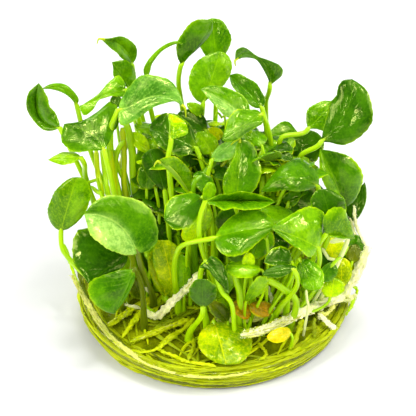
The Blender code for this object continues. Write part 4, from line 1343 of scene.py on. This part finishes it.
def make_crossing_roots(material):
    """Roots that lie on the gel, from the clump's middle outwards."""
    rng = np.random.default_rng(SEEDS["crossing_roots"])
    shape = Shape()
    for k in range(CROSSING_ROOTS):
        turn = rng.uniform(0, 2 * math.pi)
        end = rng.uniform(*CROSSING_END)
        places = []
        for s in np.linspace(0, 1, CROSSING_PLACES):
            bent = turn + CROSSING_WANDER * (s - 0.5) * rng.normal()
            out = (CROSSING_START + (end - CROSSING_START) * s) * MM
            rise = rng.uniform(0, CROSSING_RISE) * math.sin(math.pi * s)
            height = GEL_TOP + (0.1 + rise) * MM
            places.append((out * math.cos(bent), out * math.sin(bent), height))
        line = smooth_line(places, CROSSING_POINTS)
        add_root(shape, line, rng.uniform(*CROSSING_THICKNESS),
                 CROSSING_TONES[k % len(CROSSING_TONES)], rng, FINE_ROOT_SIDES)
    return shape.build("crossing_roots", [material])


def wall_radius(z):
    """The radius of the gel's wall at a height."""
    radii, heights = zip(*GEL_WALL)
    return np.interp(z, heights, radii)


def make_circling_roots(material):
    """Roots that circle half in the gel, along its wall and on the edge of its top."""
    rng = np.random.default_rng(SEEDS["circling_roots"])
    shape = Shape()
    rim_radii, rim_heights = zip(*RIM_SLOPE)
    for k in range(CIRCLING_ROOTS):
        start, sweep = rng.uniform(0, 2 * math.pi), rng.uniform(*CIRCLING_SWEEP)
        on_top = k % 3 == 2
        depth, height = rng.uniform(*CIRCLING_DEPTH) * MM, rng.uniform(*CIRCLING_HEIGHT) * MM
        reach = rng.uniform(*CIRCLING_REACH) * MM
        lift, phase = rng.normal() * 0.8 * MM, rng.uniform(0, 6)
        places = []
        for s in np.linspace(0, 1, CIRCLING_PLACES):
            turn = start + sweep * s
            wave = lift * math.sin(4 * s + phase)
            z = np.clip(height + wave, *WALL_LIMITS)
            r = wall_radius(z) - depth + rng.normal() * 0.08 * MM
            if on_top:
                r = min(reach + wave, TOP_LIMIT)
                z = np.interp(r, rim_radii, rim_heights) - 0.1 * MM
            places.append((r * math.cos(turn), r * math.sin(turn), z))
        line = smooth_line(places, CIRCLING_POINTS)
        add_root(shape, line, rng.uniform(*CIRCLING_THICKNESS),
                 CIRCLING_TONES[k % len(CIRCLING_TONES)], rng, FINE_ROOT_SIDES)
    return shape.build("circling_roots", [material])


def make_stems(material):
    """The bare stems that show between the leaves."""
    rng = np.random.default_rng(SEEDS["thin_stems"])
    shape = Shape()
    for places, foot, radius, tone in STEMS:
        points = [at_depth(*place) for place in places] + [in_gel(foot)]
        line = smooth_line(points, BARE_STEM_POINTS * len(points))
        radii = np.full(len(line), radius * MM)
        radii[0] *= 0.5
        colour = TONES[tone] * rng.uniform(0.9, 1.1)
        add_tube(shape, line, radii, [colour] * len(line), 0, BARE_STEM_SIDES)
    return shape.build("thin_stems", [material])


def make_gel(material):
    """The disc of gel, turned from its profile."""
    profile = GEL_SURFACE + GEL_WALL[::-1] + [(0.0, 0.0)]
    points, faces = [], []
    for r, z in profile:
        for k in range(GEL_TURNS):
            angle = 2 * math.pi * k / GEL_TURNS
            points.append((r * math.cos(angle), r * math.sin(angle), z))
    for i in range(len(profile) - 1):
        faces += ring_faces(i, GEL_TURNS)
    mesh = bpy.data.meshes.new("gel")
    mesh.from_pydata(points, [], faces)
    mesh.materials.append(material)
    mesh.shade_smooth()
    gel = put("gel", mesh)
    weld = gel.modifiers.new("weld", "WELD")
    weld.merge_threshold = 0.01 * MM
    return gel


def ride(piece, node=None):
    """Ties the piece to the body, and hides the node whose place it takes, where it has one."""
    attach(piece, "root")
    if node:
        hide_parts(node)


def dress():
    """Makes all the pieces."""
    blades = [leaf_upper(), leaf_under(), stem_surface()]
    root_skin = root_surface()
    for i, (name, spec) in enumerate(LEAVES.items()):
        shape = Shape()
        add_leaf(shape, spec, SEEDS["leaf"] + i)
        ride(shape.build("blade_" + name.removeprefix("leaf_"), blades), name)
    shape = Shape()
    for i, spec in enumerate(SMALL_LEAVES):
        add_leaf(shape, spec, SEEDS["small_leaf"] + i, small=True)
    ride(shape.build("small_leaves", blades))
    for name in GROWTH:
        ride(fill_clump(name, blades))
    ride(make_stems(blades[2]))
    for i, name in enumerate(ROOTS):
        ride(make_root(name, root_skin, SEEDS["root"] + i), name)
    for make in (make_thin_roots, make_crossing_roots, make_circling_roots):
        ride(make(root_skin))
    ride(make_gel(gel_surface()), "gel_disc")


def aim(obj, place, target):
    """Puts a lamp or the camera at the place, turned to the target."""
    obj.location = place
    obj.rotation_euler = (Vector(target) - Vector(place)).to_track_quat("-Z", "Y").to_euler()


def soft_light(name, place, angle, power, glossy):
    """Light from the side of the place. The angle is how wide its source looks from the plants."""
    data = bpy.data.lights.new(name, "SUN")
    data.angle = math.radians(angle)
    data.energy = power
    lamp = put(name, data)
    lamp.visible_glossy = glossy
    aim(lamp, place, (0, 0, 0))


def studio():
    """The floor, the light all round and the lamps."""
    mesh = bpy.data.meshes.new("floor")
    corners = [(-1, -1), (1, -1), (1, 1), (-1, 1)]
    mesh.from_pydata([(x * FLOOR_HALF, y * FLOOR_HALF, FLOOR_LEVEL) for x, y in corners], [],
                     [(0, 1, 2, 3)])
    mesh.materials.append(floor_surface())
    floor = put("floor", mesh)
    world = bpy.data.worlds.new("studio")
    bpy.context.scene.world = world
    world.use_nodes = True
    background = world.node_tree.nodes["Background"]
    background.inputs["Color"].default_value = (1, 1, 1, 1)
    background.inputs["Strength"].default_value = WORLD_LIGHT
    for name, settings in LAMPS.items():
        soft_light(name, *settings)


def camera():
    """The camera that sees what the front view shows."""
    data = bpy.data.cameras.new("camera")
    data.sensor_width = SENSOR
    data.lens = VIEW_SCALE / IMAGE_SIDE * SENSOR
    data.clip_start = 10 * MM
    lens = put("camera", data)
    target = np.array(VIEW_TARGET)
    away = np.array([0, -math.cos(VIEW_TILT), math.sin(VIEW_TILT)])
    aim(lens, tuple(target + away * VIEW_DISTANCE), tuple(target))
    bpy.context.scene.camera = lens


camera()
dress()
studio()
scene = bpy.context.scene
scene.view_settings.view_transform = "Standard"
scene.view_settings.look = "None"
scene.cycles.max_bounces = 24
scene.cycles.glossy_bounces = 16
scene.cycles.transmission_bounces = 20
